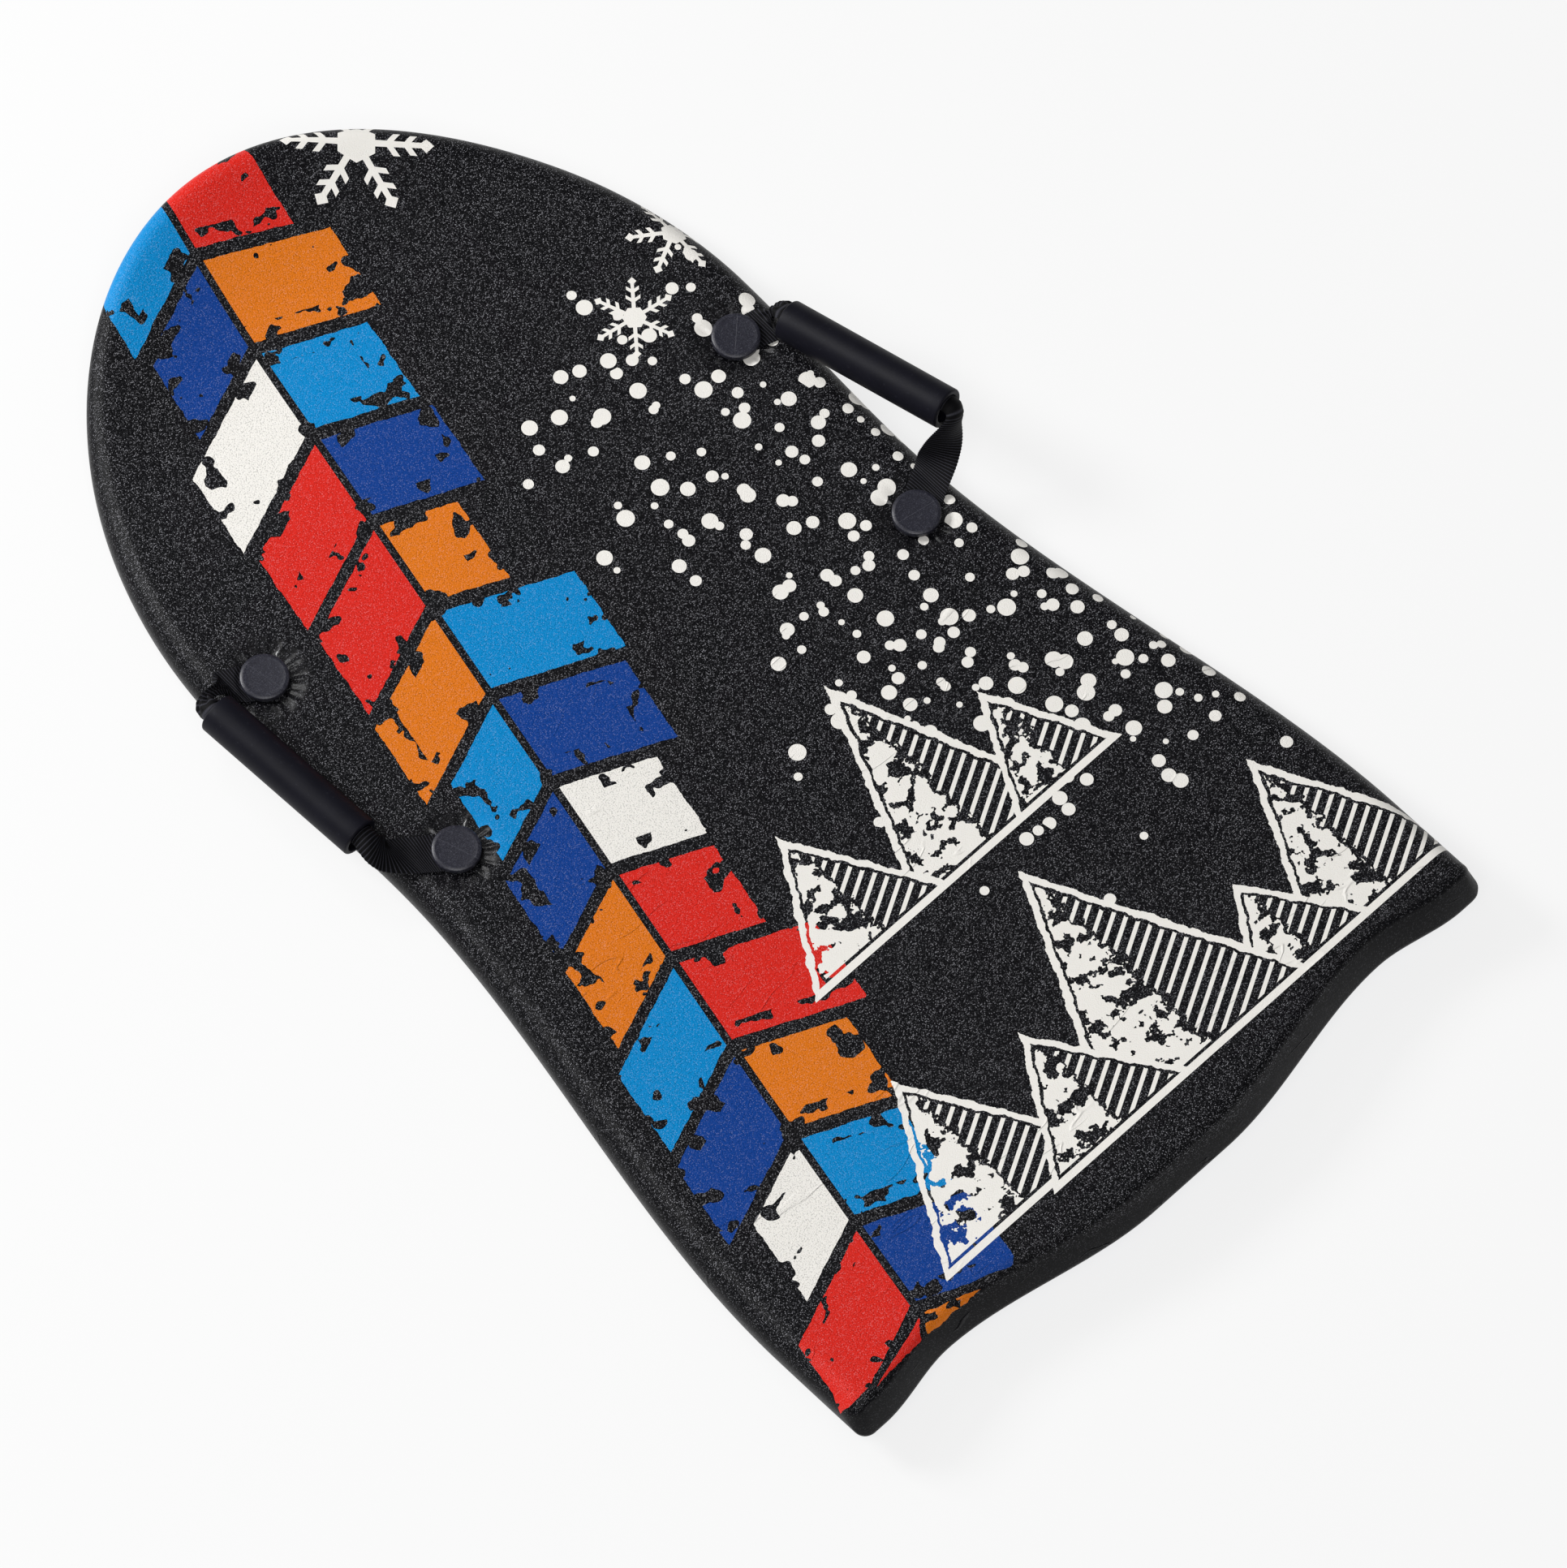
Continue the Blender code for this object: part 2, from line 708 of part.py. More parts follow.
def strap_section(bm, point, across, up, curl, fold=0.0, stretch=1.0):
    """Ring of the strap's section: rolled down at its edges, and folded lengthwise when bunched."""
    upper, lower = [], []
    strip = STRAP_WIDTH * stretch / STRAP_ACROSS
    half_thickness = STRAP_THICKNESS / 2 / math.cos(fold)
    for i in range(STRAP_ACROSS + 1):
        u = (i - STRAP_ACROSS / 2) * strip * math.cos(fold)
        turn = u * curl
        sideways = math.sin(turn) / curl if curl else u
        sink = (1 - math.cos(turn)) / curl if curl else 0
        out = up * math.cos(turn) + across * math.sin(turn)
        ridge = strip * math.sin(fold) if i % 2 else 0
        middle = point + across * sideways - up * sink + out * ridge
        upper.append(bm.verts.new(middle + out * half_thickness))
        lower.append(bm.verts.new(middle - out * half_thickness))
    return upper, lower


def leg_sections(bm, frames, towards, root):
    """Sections of one leg. At the crease they line up with the root direction."""
    sections = []
    for point, along, up, t, curl, fold in frames:
        square = (along * towards).cross(up)
        across = root.lerp(square, ease(t / BUNCH_SPAN)).normalized()
        stretch = 1 / across.dot(square)
        sections.append(strap_section(bm, point, across, up, curl, fold, stretch))
    return sections


def mirror_left(bm, side):
    """Turns a shape worked out for the right side into the left one."""
    for vertex in bm.verts:
        vertex.co.x *= side
    bm.normal_update()


def build_handle(name, handle, board):
    """Strap loop and loose grip of one side, hung on the crease that they swing about."""
    side, splay, rise = handle["side"], handle["splay"], handle["rise"]
    front_plug, rear_plug = plug_places(handle).values()
    crease = crease_x(handle)
    aft = Vector(
        (math.sin(splay) * math.cos(rise), -math.cos(splay) * math.cos(rise), math.sin(rise))
    )
    out, forward, clear = handle["mouth"]
    front_mouth = Vector((crease + out, front_plug.y + forward, THICKNESS + clear + GRIP_RADIUS))
    rear_mouth = front_mouth + aft * GRIP_LENGTH
    front = leg_frames(crease, front_plug, handle["front"], front_mouth, aft)
    rear = leg_frames(crease, rear_plug, handle["rear"], rear_mouth, -aft)
    hinge = Vector((crease, (front_plug.y + rear_plug.y) / 2, crease_z()))
    bm = bmesh.new()
    sections = leg_sections(bm, front, 1, Vector((0, -1, 0)))
    start_up, end_up = front[-1][2], rear[-1][2]
    for i in range(GRIP_STEPS + 1):
        share = i / GRIP_STEPS
        up = start_up.slerp(end_up, share)
        point = front_mouth.lerp(rear_mouth, share) + up * strap_roll()
        sections.append(strap_section(bm, point, aft.cross(up), up, 1 / strap_roll()))
    sections += reversed(leg_sections(bm, rear, -1, Vector((0, 1, 0))))
    rings = [upper + lower[::-1] for upper, lower in sections]
    for first, second in zip(rings, rings[1:]):
        bridge(bm, first, second)
    for upper, lower in (sections[0], sections[-1]):
        bridge(bm, upper, lower, closed=False)
    bmesh.ops.translate(bm, vec=-hinge, verts=bm.verts)
    mirror_left(bm, side)
    pivot = add_empty(f"{name}_handle_pivot", (side * hinge.x, hinge.y, hinge.z), board)
    add_solid(f"{name}_strap_loop", bm, "webbing", pivot)
    middle = (front_mouth + rear_mouth) / 2 - hinge
    middle.x *= side
    axis = Vector((side * aft.x, aft.y, aft.z))
    turn = Vector((0, 0, 1)).rotation_difference(axis)
    add_solid(f"{name}_grip", grip_tube(), "grip", pivot, middle, turn)


def grip_tube():
    """Thick-walled tube with its edges rounded at both mouths."""
    half = GRIP_LENGTH / 2
    quarter = math.pi / 2
    outer, inner = GRIP_RADIUS - GRIP_EDGE, GRIP_RADIUS - GRIP_WALL + GRIP_EDGE
    top = half - GRIP_EDGE
    profile = rounded_corner(outer, top, GRIP_EDGE, 0, quarter)
    profile += rounded_corner(inner, top, GRIP_EDGE, quarter, 2 * quarter)
    profile += rounded_corner(inner, -top, GRIP_EDGE, 2 * quarter, 3 * quarter)
    profile += rounded_corner(outer, -top, GRIP_EDGE, 3 * quarter, 4 * quarter)
    return turned(profile, True)


def main():
    clear_scene()
    board = add_empty("board", (0, -LENGTH / 2, 0))
    build_deck_skin(board)
    build_foam_core(board)
    build_slick_sheet(board)
    for name, x, y in plug_stations():
        build_plug(name, x, y, board)
        build_nut(name, x, y, board)
    for name, handle in HANDLES.items():
        for end, place in plug_places(handle).items():
            build_strap_end(f"{name}_{end}", handle, place, handle[end]["heading"], board)
        build_handle(name, handle, board)


main()
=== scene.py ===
# %% [markdown]
# # Foam snow slider
# The object is a child's snow slider: a slab of light foam with a printed plastic film
# wrapped over its deck and rails, a slick sheet under it, and two webbing handles held by
# plugs and barrel nuts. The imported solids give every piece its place. The finished look is
# built around them here, one piece after another.

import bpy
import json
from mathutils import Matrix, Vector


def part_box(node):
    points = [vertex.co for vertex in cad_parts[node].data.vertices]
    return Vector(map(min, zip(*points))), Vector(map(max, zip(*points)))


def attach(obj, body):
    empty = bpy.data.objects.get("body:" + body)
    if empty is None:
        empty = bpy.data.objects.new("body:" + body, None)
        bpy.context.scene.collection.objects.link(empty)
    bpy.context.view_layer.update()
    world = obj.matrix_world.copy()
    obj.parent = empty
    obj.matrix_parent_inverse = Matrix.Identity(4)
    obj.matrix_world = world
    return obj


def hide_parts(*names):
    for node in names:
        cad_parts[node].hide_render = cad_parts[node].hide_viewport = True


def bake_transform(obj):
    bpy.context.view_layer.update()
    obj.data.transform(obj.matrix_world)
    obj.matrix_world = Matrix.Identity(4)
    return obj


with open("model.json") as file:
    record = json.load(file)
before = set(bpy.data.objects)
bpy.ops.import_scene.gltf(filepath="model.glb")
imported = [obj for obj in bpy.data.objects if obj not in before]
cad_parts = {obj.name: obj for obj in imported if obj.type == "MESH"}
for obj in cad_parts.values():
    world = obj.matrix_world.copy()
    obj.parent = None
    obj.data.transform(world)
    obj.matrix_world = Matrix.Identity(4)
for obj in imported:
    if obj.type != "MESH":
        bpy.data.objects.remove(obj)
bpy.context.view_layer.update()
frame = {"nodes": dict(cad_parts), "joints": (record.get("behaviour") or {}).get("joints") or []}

# %% Modules
import json
import math

import bmesh
import bpy
import numpy as np
from mathutils import Matrix, Quaternion, Vector
from mathutils import geometry, noise

# %% [markdown]
# ## Camera
# The photograph looks down on the deck from a long way off, so the lens is long and the
# lines stay nearly parallel. A small roll about the line of sight sets the board on the
# diagonal. The view comes from a compass angle, a height angle and that roll, which is
# easier to check than a set of Euler angles.

# %% Camera
VIEW_TURN = math.radians(136.157)
VIEW_HEIGHT = math.radians(66.344)
VIEW_ROLL = math.radians(2.59)
VIEW_DISTANCE = 10.0
VIEW_TARGET = Vector((0.00288, -0.09009, 0.015))
FOCAL_PIXELS = 20000
IMAGE_PIXELS = 1932


def linked(name, data):
    """An object in the scene, with this mesh, lamp or camera."""
    made = bpy.data.objects.new(name, data)
    bpy.context.scene.collection.objects.link(made)
    return made


def add_camera():
    flat = math.cos(VIEW_HEIGHT)
    back = Vector(
        (flat * math.cos(VIEW_TURN), -flat * math.sin(VIEW_TURN), math.sin(VIEW_HEIGHT))
    )
    level = Vector((math.sin(VIEW_TURN), math.cos(VIEW_TURN), 0))
    right = Matrix.Rotation(VIEW_ROLL, 3, back) @ level
    data = bpy.data.cameras.new("camera")
    data.lens = data.sensor_width * FOCAL_PIXELS / IMAGE_PIXELS
    data.clip_end = 5 * VIEW_DISTANCE
    camera = linked("camera", data)
    axes = Matrix((right, back.cross(right), back)).transposed()
    place = Matrix.Translation(VIEW_TARGET + back * VIEW_DISTANCE)
    camera.matrix_world = place @ axes.to_4x4()
    bpy.context.scene.camera = camera
    return camera


camera = add_camera()
print("camera at", [round(c, 3) for c in camera.matrix_world.translation])

# %% [markdown]
# ## Shader maths
# A print made of shapes needs a lot of sums. Written node by node they are hard to read, so
# a small class stands for one socket and lets Python's own operators add the Math nodes:
# `abs(x) < 5` is a mask, `a & b` keeps what is in both and `a | b` what is in either. Every
# other node comes from one method of the finish that it belongs to.

# %% Adding a node
def set_stops(ramp, stops):
    """Colours that each hold until the next one starts."""
    ramp.interpolation = "CONSTANT"
    while len(ramp.elements) < len(stops):
        ramp.elements.new(1.0)
    for element, (place, colour) in zip(ramp.elements, stops):
        element.position = place
        element.color = (*colour, 1)


def add_node(tree, kind, settings, values):
    """A node of a type. Its settings are made first, then its sockets' values or links."""
    made = tree.nodes.new(kind)
    for name, value in settings.items():
        if name == "stops":
            set_stops(made.color_ramp, value)
        else:
            setattr(made, name, value)
    for key, value in values.items():
        if isinstance(value, bpy.types.NodeSocket):
            tree.links.new(value, made.inputs[key])
        else:
            made.inputs[key].default_value = value
    return made


# %% Sockets that do sums
class Socket:
    """One output of a node. An operator on it adds a Math node to the same finish."""

    def __init__(self, finish, link):
        self.finish = finish
        self.link = link

    def __add__(self, other):
        return self.finish.maths("ADD", self, other)

    def __sub__(self, other):
        return self.finish.maths("SUBTRACT", self, other)

    def __rsub__(self, other):
        return self.finish.maths("SUBTRACT", other, self)

    def __mul__(self, other):
        return self.finish.maths("MULTIPLY", self, other)

    def __truediv__(self, other):
        return self.finish.maths("DIVIDE", self, other)

    def __mod__(self, other):
        return self.finish.maths("FLOORED_MODULO", self, other)

    def __lt__(self, other):
        return self.finish.maths("LESS_THAN", self, other)

    def __gt__(self, other):
        return self.finish.maths("GREATER_THAN", self, other)

    def __and__(self, other):
        return self.finish.maths("MINIMUM", self, other)

    def __or__(self, other):
        return self.finish.maths("MAXIMUM", self, other)

    def __abs__(self):
        return self.finish.maths("ABSOLUTE", self)

    __radd__ = __add__
    __rmul__ = __mul__


# %% A finish: one material and the nodes behind it
class Finish:
    """A material with one Principled shader."""

    def __init__(self, name, **shader):
        self.material = bpy.data.materials.new(name)
        self.material.use_nodes = True
        self.tree = self.material.node_tree
        self.shader = self.tree.nodes["Principled BSDF"]
        self.set(**shader)

    def node(self, kind, settings, values, output=0):
        """A node of this material, as the socket of one of its outputs."""
        ends = {key: v.link if isinstance(v, Socket) else v for key, v in values.items()}
        return Socket(self, add_node(self.tree, kind, settings, ends).outputs[output])

    def maths(self, operation, first, second=0.0):
        """A Math node. Some operations, such as a square root, use only the first number."""
        return self.node("ShaderNodeMath", {"operation": operation}, {0: first, 1: second})

    def set(self, **shader):
        """Sets the shader's sockets by their names, with _ for a space."""
        for name, value in shader.items():
            title = name.replace("_", " ").title().replace("Ior", "IOR")
            socket = self.shader.inputs[title]
            if isinstance(value, Socket):
                self.tree.links.new(value.link, socket)
            else:
                socket.default_value = (*value, 1) if isinstance(value, tuple) else value

    def place(self):
        """Where a point is in the board's frame, in millimetres."""
        return self.millimetres(self.node("ShaderNodeTexCoord", {}, {}, "Object"))

    def stored(self, name, output="Fac"):
        """What the mesh stores at each point under a name."""
        return self.node("ShaderNodeAttribute", {"attribute_name": name}, {}, output)

    def millimetres(self, place):
        return self.sized(place, 1000, 1000, 1000)

    def sized(self, place, *size):
        """The place stretched along each axis, for a pattern with a direction."""
        return self.node("ShaderNodeVectorMath", {"operation": "MULTIPLY"}, {0: place, 1: size})

    def moved(self, place, *shift):
        return self.node("ShaderNodeVectorMath", {"operation": "ADD"}, {0: place, 1: shift})

    def parts(self, place):
        split = self.node("ShaderNodeSeparateXYZ", {}, {0: place})
        return [Socket(self, part) for part in split.link.node.outputs]

    def joined(self, x, y, z=0.0):
        return self.node("ShaderNodeCombineXYZ", {}, {0: x, 1: y, 2: z})

    def noise(self, place, size, detail=2.0, roughness=0.5):
        """Soft random values of about this size in millimetres."""
        values = {"Vector": place, "Scale": 1 / size, "Detail": detail, "Roughness": roughness}
        return self.node("ShaderNodeTexNoise", {"noise_dimensions": "3D"}, values)

    def cells(self, place, size, scatter=1.0):
        """Random cells of about this size: way from the middle, a random colour, the middle."""
        values = {"Vector": place, "Scale": 1 / size, "Randomness": scatter}
        made = self.node("ShaderNodeTexVoronoi", {"voronoi_dimensions": "2D"}, values)
        outputs = made.link.node.outputs
        return [Socket(self, outputs[name]) for name in ("Distance", "Color", "Position")]

    def eased(self, value, start, end):
        """0 up to the start, 1 from the end, and smooth between."""
        values = {"Value": value, 1: start, 2: end}
        return self.node("ShaderNodeMapRange", {"interpolation_type": "SMOOTHSTEP"}, values)

    def mix(self, share, first, second):
        """A colour between two others."""
        ends = [(*c, 1) if isinstance(c, tuple) else c for c in (first, second)]
        values = {0: share, 6: ends[0], 7: ends[1]}
        return self.node("ShaderNodeMix", {"data_type": "RGBA"}, values, 2)

    def bump(self, height, distance):
        """Light and shade of a surface raised by a height, in metres for each unit."""
        values = {"Height": height, "Distance": distance, "Strength": 1}
        self.set(normal=self.node("ShaderNodeBump", {}, values))


def srgb(red, green, blue):
    """A colour as read off a screen, as the shader wants it."""
    parts = np.array((red, green, blue)) / 255
    curve = np.where(parts < 0.04045, parts / 12.92, ((parts + 0.055) / 1.055) ** 2.4)
    return tuple(float(c) for c in curve)


print("middle grey is", [round(c, 3) for c in srgb(128, 128, 128)])

# %% [markdown]
# ## Meshes
# Most pieces here are rows of points joined by quads: rings of a turned plug, loops round
# the board, sections along a strap. A few helpers cover them all.

# %% Mesh helpers
def smoothed(mesh, angle=35):
    """Smooth shading that keeps the edges sharper than an angle in degrees."""
    mesh.shade_smooth()
    mesh.set_sharp_from_angle(angle=math.radians(angle))


def new_piece(name, points, faces, finish, smooth_angle=35):
    """A closed piece at the origin, from points in the board's frame."""
    mesh = bpy.data.meshes.new(name)
    mesh.from_pydata([tuple(p) for p in points], [], [tuple(f) for f in faces])
    bm = bmesh.new()
    bm.from_mesh(mesh)
    bmesh.ops.recalc_face_normals(bm, faces=bm.faces)
    open_edges = sum(1 for edge in bm.edges if not edge.is_manifold)
    volume = bm.calc_volume() * 1e6
    bm.to_mesh(mesh)
    bm.free()
    mesh.materials.append(finish.material)
    smoothed(mesh, smooth_angle)
    print(f"{name}: {len(mesh.polygons)} faces, {volume:.1f} cm3, {open_edges} open edges")
    return linked(name, mesh)


def store(piece, name, values):
    """Keeps a number or a vector at each point of a mesh, for its finish to read."""
    values = np.asarray(values, np.float32)
    kind, field = ("FLOAT", "value") if values.ndim == 1 else ("FLOAT_VECTOR", "vector")
    piece.data.attributes.new(name, kind, "POINT").data.foreach_set(field, values.ravel())


def joined_rows(first, second, closed=True):
    """Quads between two rows of the same number of point numbers."""
    count = len(first)
    steps = range(count if closed else count - 1)
    return [(first[i], first[(i + 1) % count], second[(i + 1) % count], second[i]) for i in steps]


def stacked_rows(rows, count, start=0):
    """Quads of closed rows that follow each other in a list of points."""
    faces = []
    for first in range(start, start + (rows - 1) * count, count):
        second = first + count
        faces += joined_rows(range(first, second), range(second, second + count))
    return faces


def ease(t):
    """0 to 1 with a level start and end, for one number or an array."""
    t = np.clip(t, 0.0, 1.0)
    return t * t * (3 - 2 * t)


# %% [markdown]
# ## The board's shape
# The film follows the outline and the edge of the foam under it: a nose curve, a waist, a
# flare to the tail and a scalloped tail edge. The edge is a list of levels, each moved in
# from the outline and up from the floor, one set for the rails and one for the tail face,
# which leans. The sizes are the solids' own, with many more points along them.

# %% Outline
low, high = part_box("deck_skin")
TAIL_CORNER_LOSS = 0.00055
LENGTH = high.y - low.y + TAIL_CORNER_LOSS
MIDDLE_STATION = LENGTH / 2
TAIL_HALF_WIDTH = high.x
WAIST_HALF_WIDTH = 0.2167
SHOULDER_HALF_WIDTH = 0.2214
FLARE_START, FLARE_END = 0.089, 0.480
NOSE_START, NOSE_FULLNESS = 0.6275, 1.9
TAIL_BELLY_X = 0.031
TAIL_NOTCH_X, TAIL_NOTCH_DEPTH = TAIL_HALF_WIDTH - 0.0806, 0.0225
TAIL_HORN_X, TAIL_HORN_DEPTH = TAIL_HALF_WIDTH - 0.0192, 0.0133
CORNER_RADIUS = 0.008
SIDE_END = 0.045
NOSE_STEPS, SIDE_STEPS, CORNER_STEPS, TAIL_STEPS = 90, 160, 8, 76
SLOPE_STEP = 1e-4


def half_width(y):
    """Half of the board's width at a station, measured from the tail."""
    flare = ease((y - FLARE_START) / (FLARE_END - FLARE_START))
    shoulder = ease((y - FLARE_END) / (NOSE_START - FLARE_END))
    width = TAIL_HALF_WIDTH + (WAIST_HALF_WIDTH - TAIL_HALF_WIDTH) * flare
    return width + (SHOULDER_HALF_WIDTH - WAIST_HALF_WIDTH) * shoulder


def tail_edge(x):
    """Station of the tail's edge: a belly, a notch and a horn on each side."""
    notch = TAIL_NOTCH_DEPTH * ease((abs(x) - TAIL_BELLY_X) / (TAIL_NOTCH_X - TAIL_BELLY_X))
    horn = ease((abs(x) - TAIL_NOTCH_X) / (TAIL_HORN_X - TAIL_NOTCH_X))
    return notch + (TAIL_HORN_DEPTH - TAIL_NOTCH_DEPTH) * horn


def tail_inward(x):
    """Unit vector that points into the board from the tail's edge."""
    slope = (tail_edge(x + SLOPE_STEP) - tail_edge(x - SLOPE_STEP)) / (2 * SLOPE_STEP)
    return Vector((-slope, 1)).normalized()


def side_points():
    """Right edge from the nose tip back to the tail's straight side, with inward vectors."""
    points = []
    for i in range(NOSE_STEPS):
        angle = math.pi / 2 * (1 - i / NOSE_STEPS)
        y = NOSE_START + (LENGTH - NOSE_START) * math.sin(angle) ** (2 / NOSE_FULLNESS)
        points.append(Vector((SHOULDER_HALF_WIDTH * math.cos(angle), y)))
    points[0].x = 0.0
    for i in range(SIDE_STEPS + 1):
        y = NOSE_START + (SIDE_END - NOSE_START) * i / SIDE_STEPS
        points.append(Vector((half_width(y), y)))
    inward = [Vector((0, -1))]
    for before, after in zip(points, points[2:]):
        inward.append(Vector(((after - before).y, -(after - before).x)).normalized())
    return list(zip(points, inward + [Vector((-1, 0))]))


SIDE = side_points()
print(f"board {LENGTH * 1000:.1f} mm long, {len(SIDE)} points down each side")

# %% Edge levels
THICKNESS, NOSE_THICKNESS = 0.030, 0.026
SLOPE_START, SLOPE_POWER = 0.668, 1.5
NOSE_LIFT, NOSE_LIFT_START = 0.0293, 0.760
TAIL_LIFT, TAIL_LIFT_START = 0.017, 0.300
RAIL_TOP_RADIUS, RAIL_BOTTOM_RADIUS = 0.016, 0.010
TAIL_BOTTOM_RADIUS, TAIL_FOLD_RADIUS, TAIL_LEAN = 0.005, 0.009, math.radians(27)
SKIN_THICKNESS = 0.0015
OUTER_STEPS, INNER_STEPS = (5, 10), (2, 4)
HALVINGS = 40


def thinness(y):
    """Share of the full thickness at a station. The nose is thinner."""
    t = np.clip((y - SLOPE_START) / (LENGTH - SLOPE_START), 0, None)
    return 1 - (1 - NOSE_THICKNESS / THICKNESS) * t**SLOPE_POWER


def lift(y):
    """How far the board is curved up at a station."""
    nose = np.clip((y - NOSE_LIFT_START) / (LENGTH - NOSE_LIFT_START), 0, None)
    tail = np.clip((TAIL_LIFT_START - y) / TAIL_LIFT_START, 0, None)
    return NOSE_LIFT * nose**2 + TAIL_LIFT * tail**2


def arc_levels(inset, height, radius, start, end, steps):
    """Levels on an arc, each an inset, a height, and the inward direction across and up."""
    angles = [start + (end - start) * i / steps for i in range(steps + 1)]
    return [
        (inset - radius * math.cos(a), height + radius * math.sin(a), math.cos(a), -math.sin(a))
        for a in angles
    ]


def edge_levels(low_steps, top_steps):
    """The rail's levels and the tail's, from the bottom up to the deck."""
    quarter = math.pi / 2
    low, top = RAIL_BOTTOM_RADIUS, RAIL_TOP_RADIUS
    rail = arc_levels(low, low, low, -quarter, 0, low_steps)
    rail += arc_levels(top, THICKNESS - top, top, 0, quarter, top_steps)
    low, fold, lean = TAIL_BOTTOM_RADIUS, TAIL_FOLD_RADIUS, TAIL_LEAN
    foot = low * (1 - math.cos(lean) + math.sin(lean))
    fold_z = THICKNESS - fold
    fold_inset = (fold_z * math.sin(lean) + fold - foot) / math.cos(lean)
    tail = arc_levels(low, low, low, -quarter, lean, low_steps)
    tail += arc_levels(fold_inset, fold_z, fold, lean, quarter, top_steps)
    return list(zip(rail, tail))


def corner_centre(side_inset, tail_inset, radius):
    """Centre of the round at the tail corner, and where it meets the tail's edge."""
    x = TAIL_HALF_WIDTH - side_inset - radius
    near, far = 0.0, TAIL_HALF_WIDTH
    for _ in range(HALVINGS):
        middle = (near + far) / 2
        reached = middle + tail_inward(middle).x * (tail_inset + radius)
        near, far = (middle, far) if reached < x else (near, middle)
    y = tail_edge(near) + tail_inward(near).y * (tail_inset + radius)
    return Vector((x, y)), near


def edge_loop(rail, tail, depth):
    """Closed loop of points round the board at one level, moved in by a depth."""
    side_inset, side_z = rail[0] + depth * rail[2], rail[1]
    tail_inset, tail_z = tail[0] + depth * tail[2], tail[1] + depth * tail[3]
    radius = max(CORNER_RADIUS - depth, CORNER_RADIUS / 4)
    half = []
    for point, inward in SIDE:
        share = thinness(point.y)
        place = point + inward * (rail[0] * share + depth * rail[2])
        half.append((place.x, place.y, max(side_z * share + depth * rail[3], 0)))
    rail_z, tail_z = half[-1][2], max(tail_z, 0)
    centre, meeting = corner_centre(side_inset, tail_inset, radius)
    outward = -tail_inward(meeting)
    end = math.atan2(outward.y, outward.x)
    for i in range(CORNER_STEPS + 1):
        share = i / CORNER_STEPS
        x, y = centre.x + radius * math.cos(end * share), centre.y + radius * math.sin(end * share)
        half.append((x, y, rail_z + (tail_z - rail_z) * share))
    for i in range(1, TAIL_STEPS + 1):
        x = meeting * (1 - i / TAIL_STEPS)
        place = Vector((x, tail_edge(x))) + tail_inward(x) * tail_inset
        half.append((place.x, place.y, tail_z))
    return half + [(-x, y, z) for x, y, z in half[-2:0:-1]]


def edge_wall(low_steps, top_steps, depth):
    """All loops of the edge from the bottom to the deck, as an array of level, point, axis."""
    levels = edge_levels(low_steps, top_steps)
    return np.array([edge_loop(rail, tail, depth) for rail, tail in levels])


outer_wall = edge_wall(*OUTER_STEPS, 0.0)
inner_wall = edge_wall(*INNER_STEPS, SKIN_THICKNESS)
print("edge loops of", outer_wall.shape[1], "points:", len(outer_wall), "and", len(inner_wall))

# %% [markdown]
# ## Where the handles are held
# The four plugs press the film into the foam. Each leaves a shallow bowl, and the film
# gathers round it in short ridges that run out from the head. The places come from the
# solids, so the bowls stay under the heads.

# %% Bowls round the plugs
HEAD_RADIUS = 0.0155
BOWL_FLAT, BOWL_RADIUS, BOWL_DEPTH = 0.0165, 0.031, 0.0012
RIM_TOP, RIM_END, RIM_RISE = 0.027, 0.043, 0.0008
RIDGE_HEIGHT, RIDGE_START, RIDGE_FADE = 0.0007, 0.003, 0.011
RIDGE_WAVES = [
    # ridges round the head, their share, and how far each plug turns them
    (11, 1.0, 1.0),
    (17, 0.8, 2.3),
    (29, 0.6, 4.1),
]
TIGHT_REACH, TIGHT_FADE = 0.035, 0.016
PLUG_NAMES = [f"{side}_{end}" for side in ("right", "left") for end in ("front", "rear")]
PLUGS = {}
for name in PLUG_NAMES:
    low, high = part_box(f"{name}_plug")
    PLUGS[name] = Vector(((low.x + high.x) / 2, (low.y + high.y) / 2 + MIDDLE_STATION, high.z))
STRAP_HEADINGS = {"right_front": -18, "right_rear": 26, "left_front": 28, "left_rear": 36}
STRAP_WIDTH, STRAP_THICKNESS = 0.025, 0.0013
STRAP_SHADOW_START, STRAP_SHADOW_EDGE = -0.010, 0.003


def round_the_plugs(x, y):
    """For each plug: way from its middle, angle about it, and 0 under its strap but 1 beside."""
    for name, plug in PLUGS.items():
        side = 1 if name.startswith("right") else -1
        dx, dy = (x - plug.x) * side, y - plug.y
        heading = math.radians(STRAP_HEADINGS[name])
        ahead = dx * math.cos(heading) + dy * math.sin(heading)
        beside = abs(dy * math.cos(heading) - dx * math.sin(heading))
        under = 1 - ease((beside - STRAP_WIDTH / 2) / STRAP_SHADOW_EDGE)
        yield np.hypot(dx, dy), np.arctan2(dy, dx), 1 - (ahead > STRAP_SHADOW_START) * under


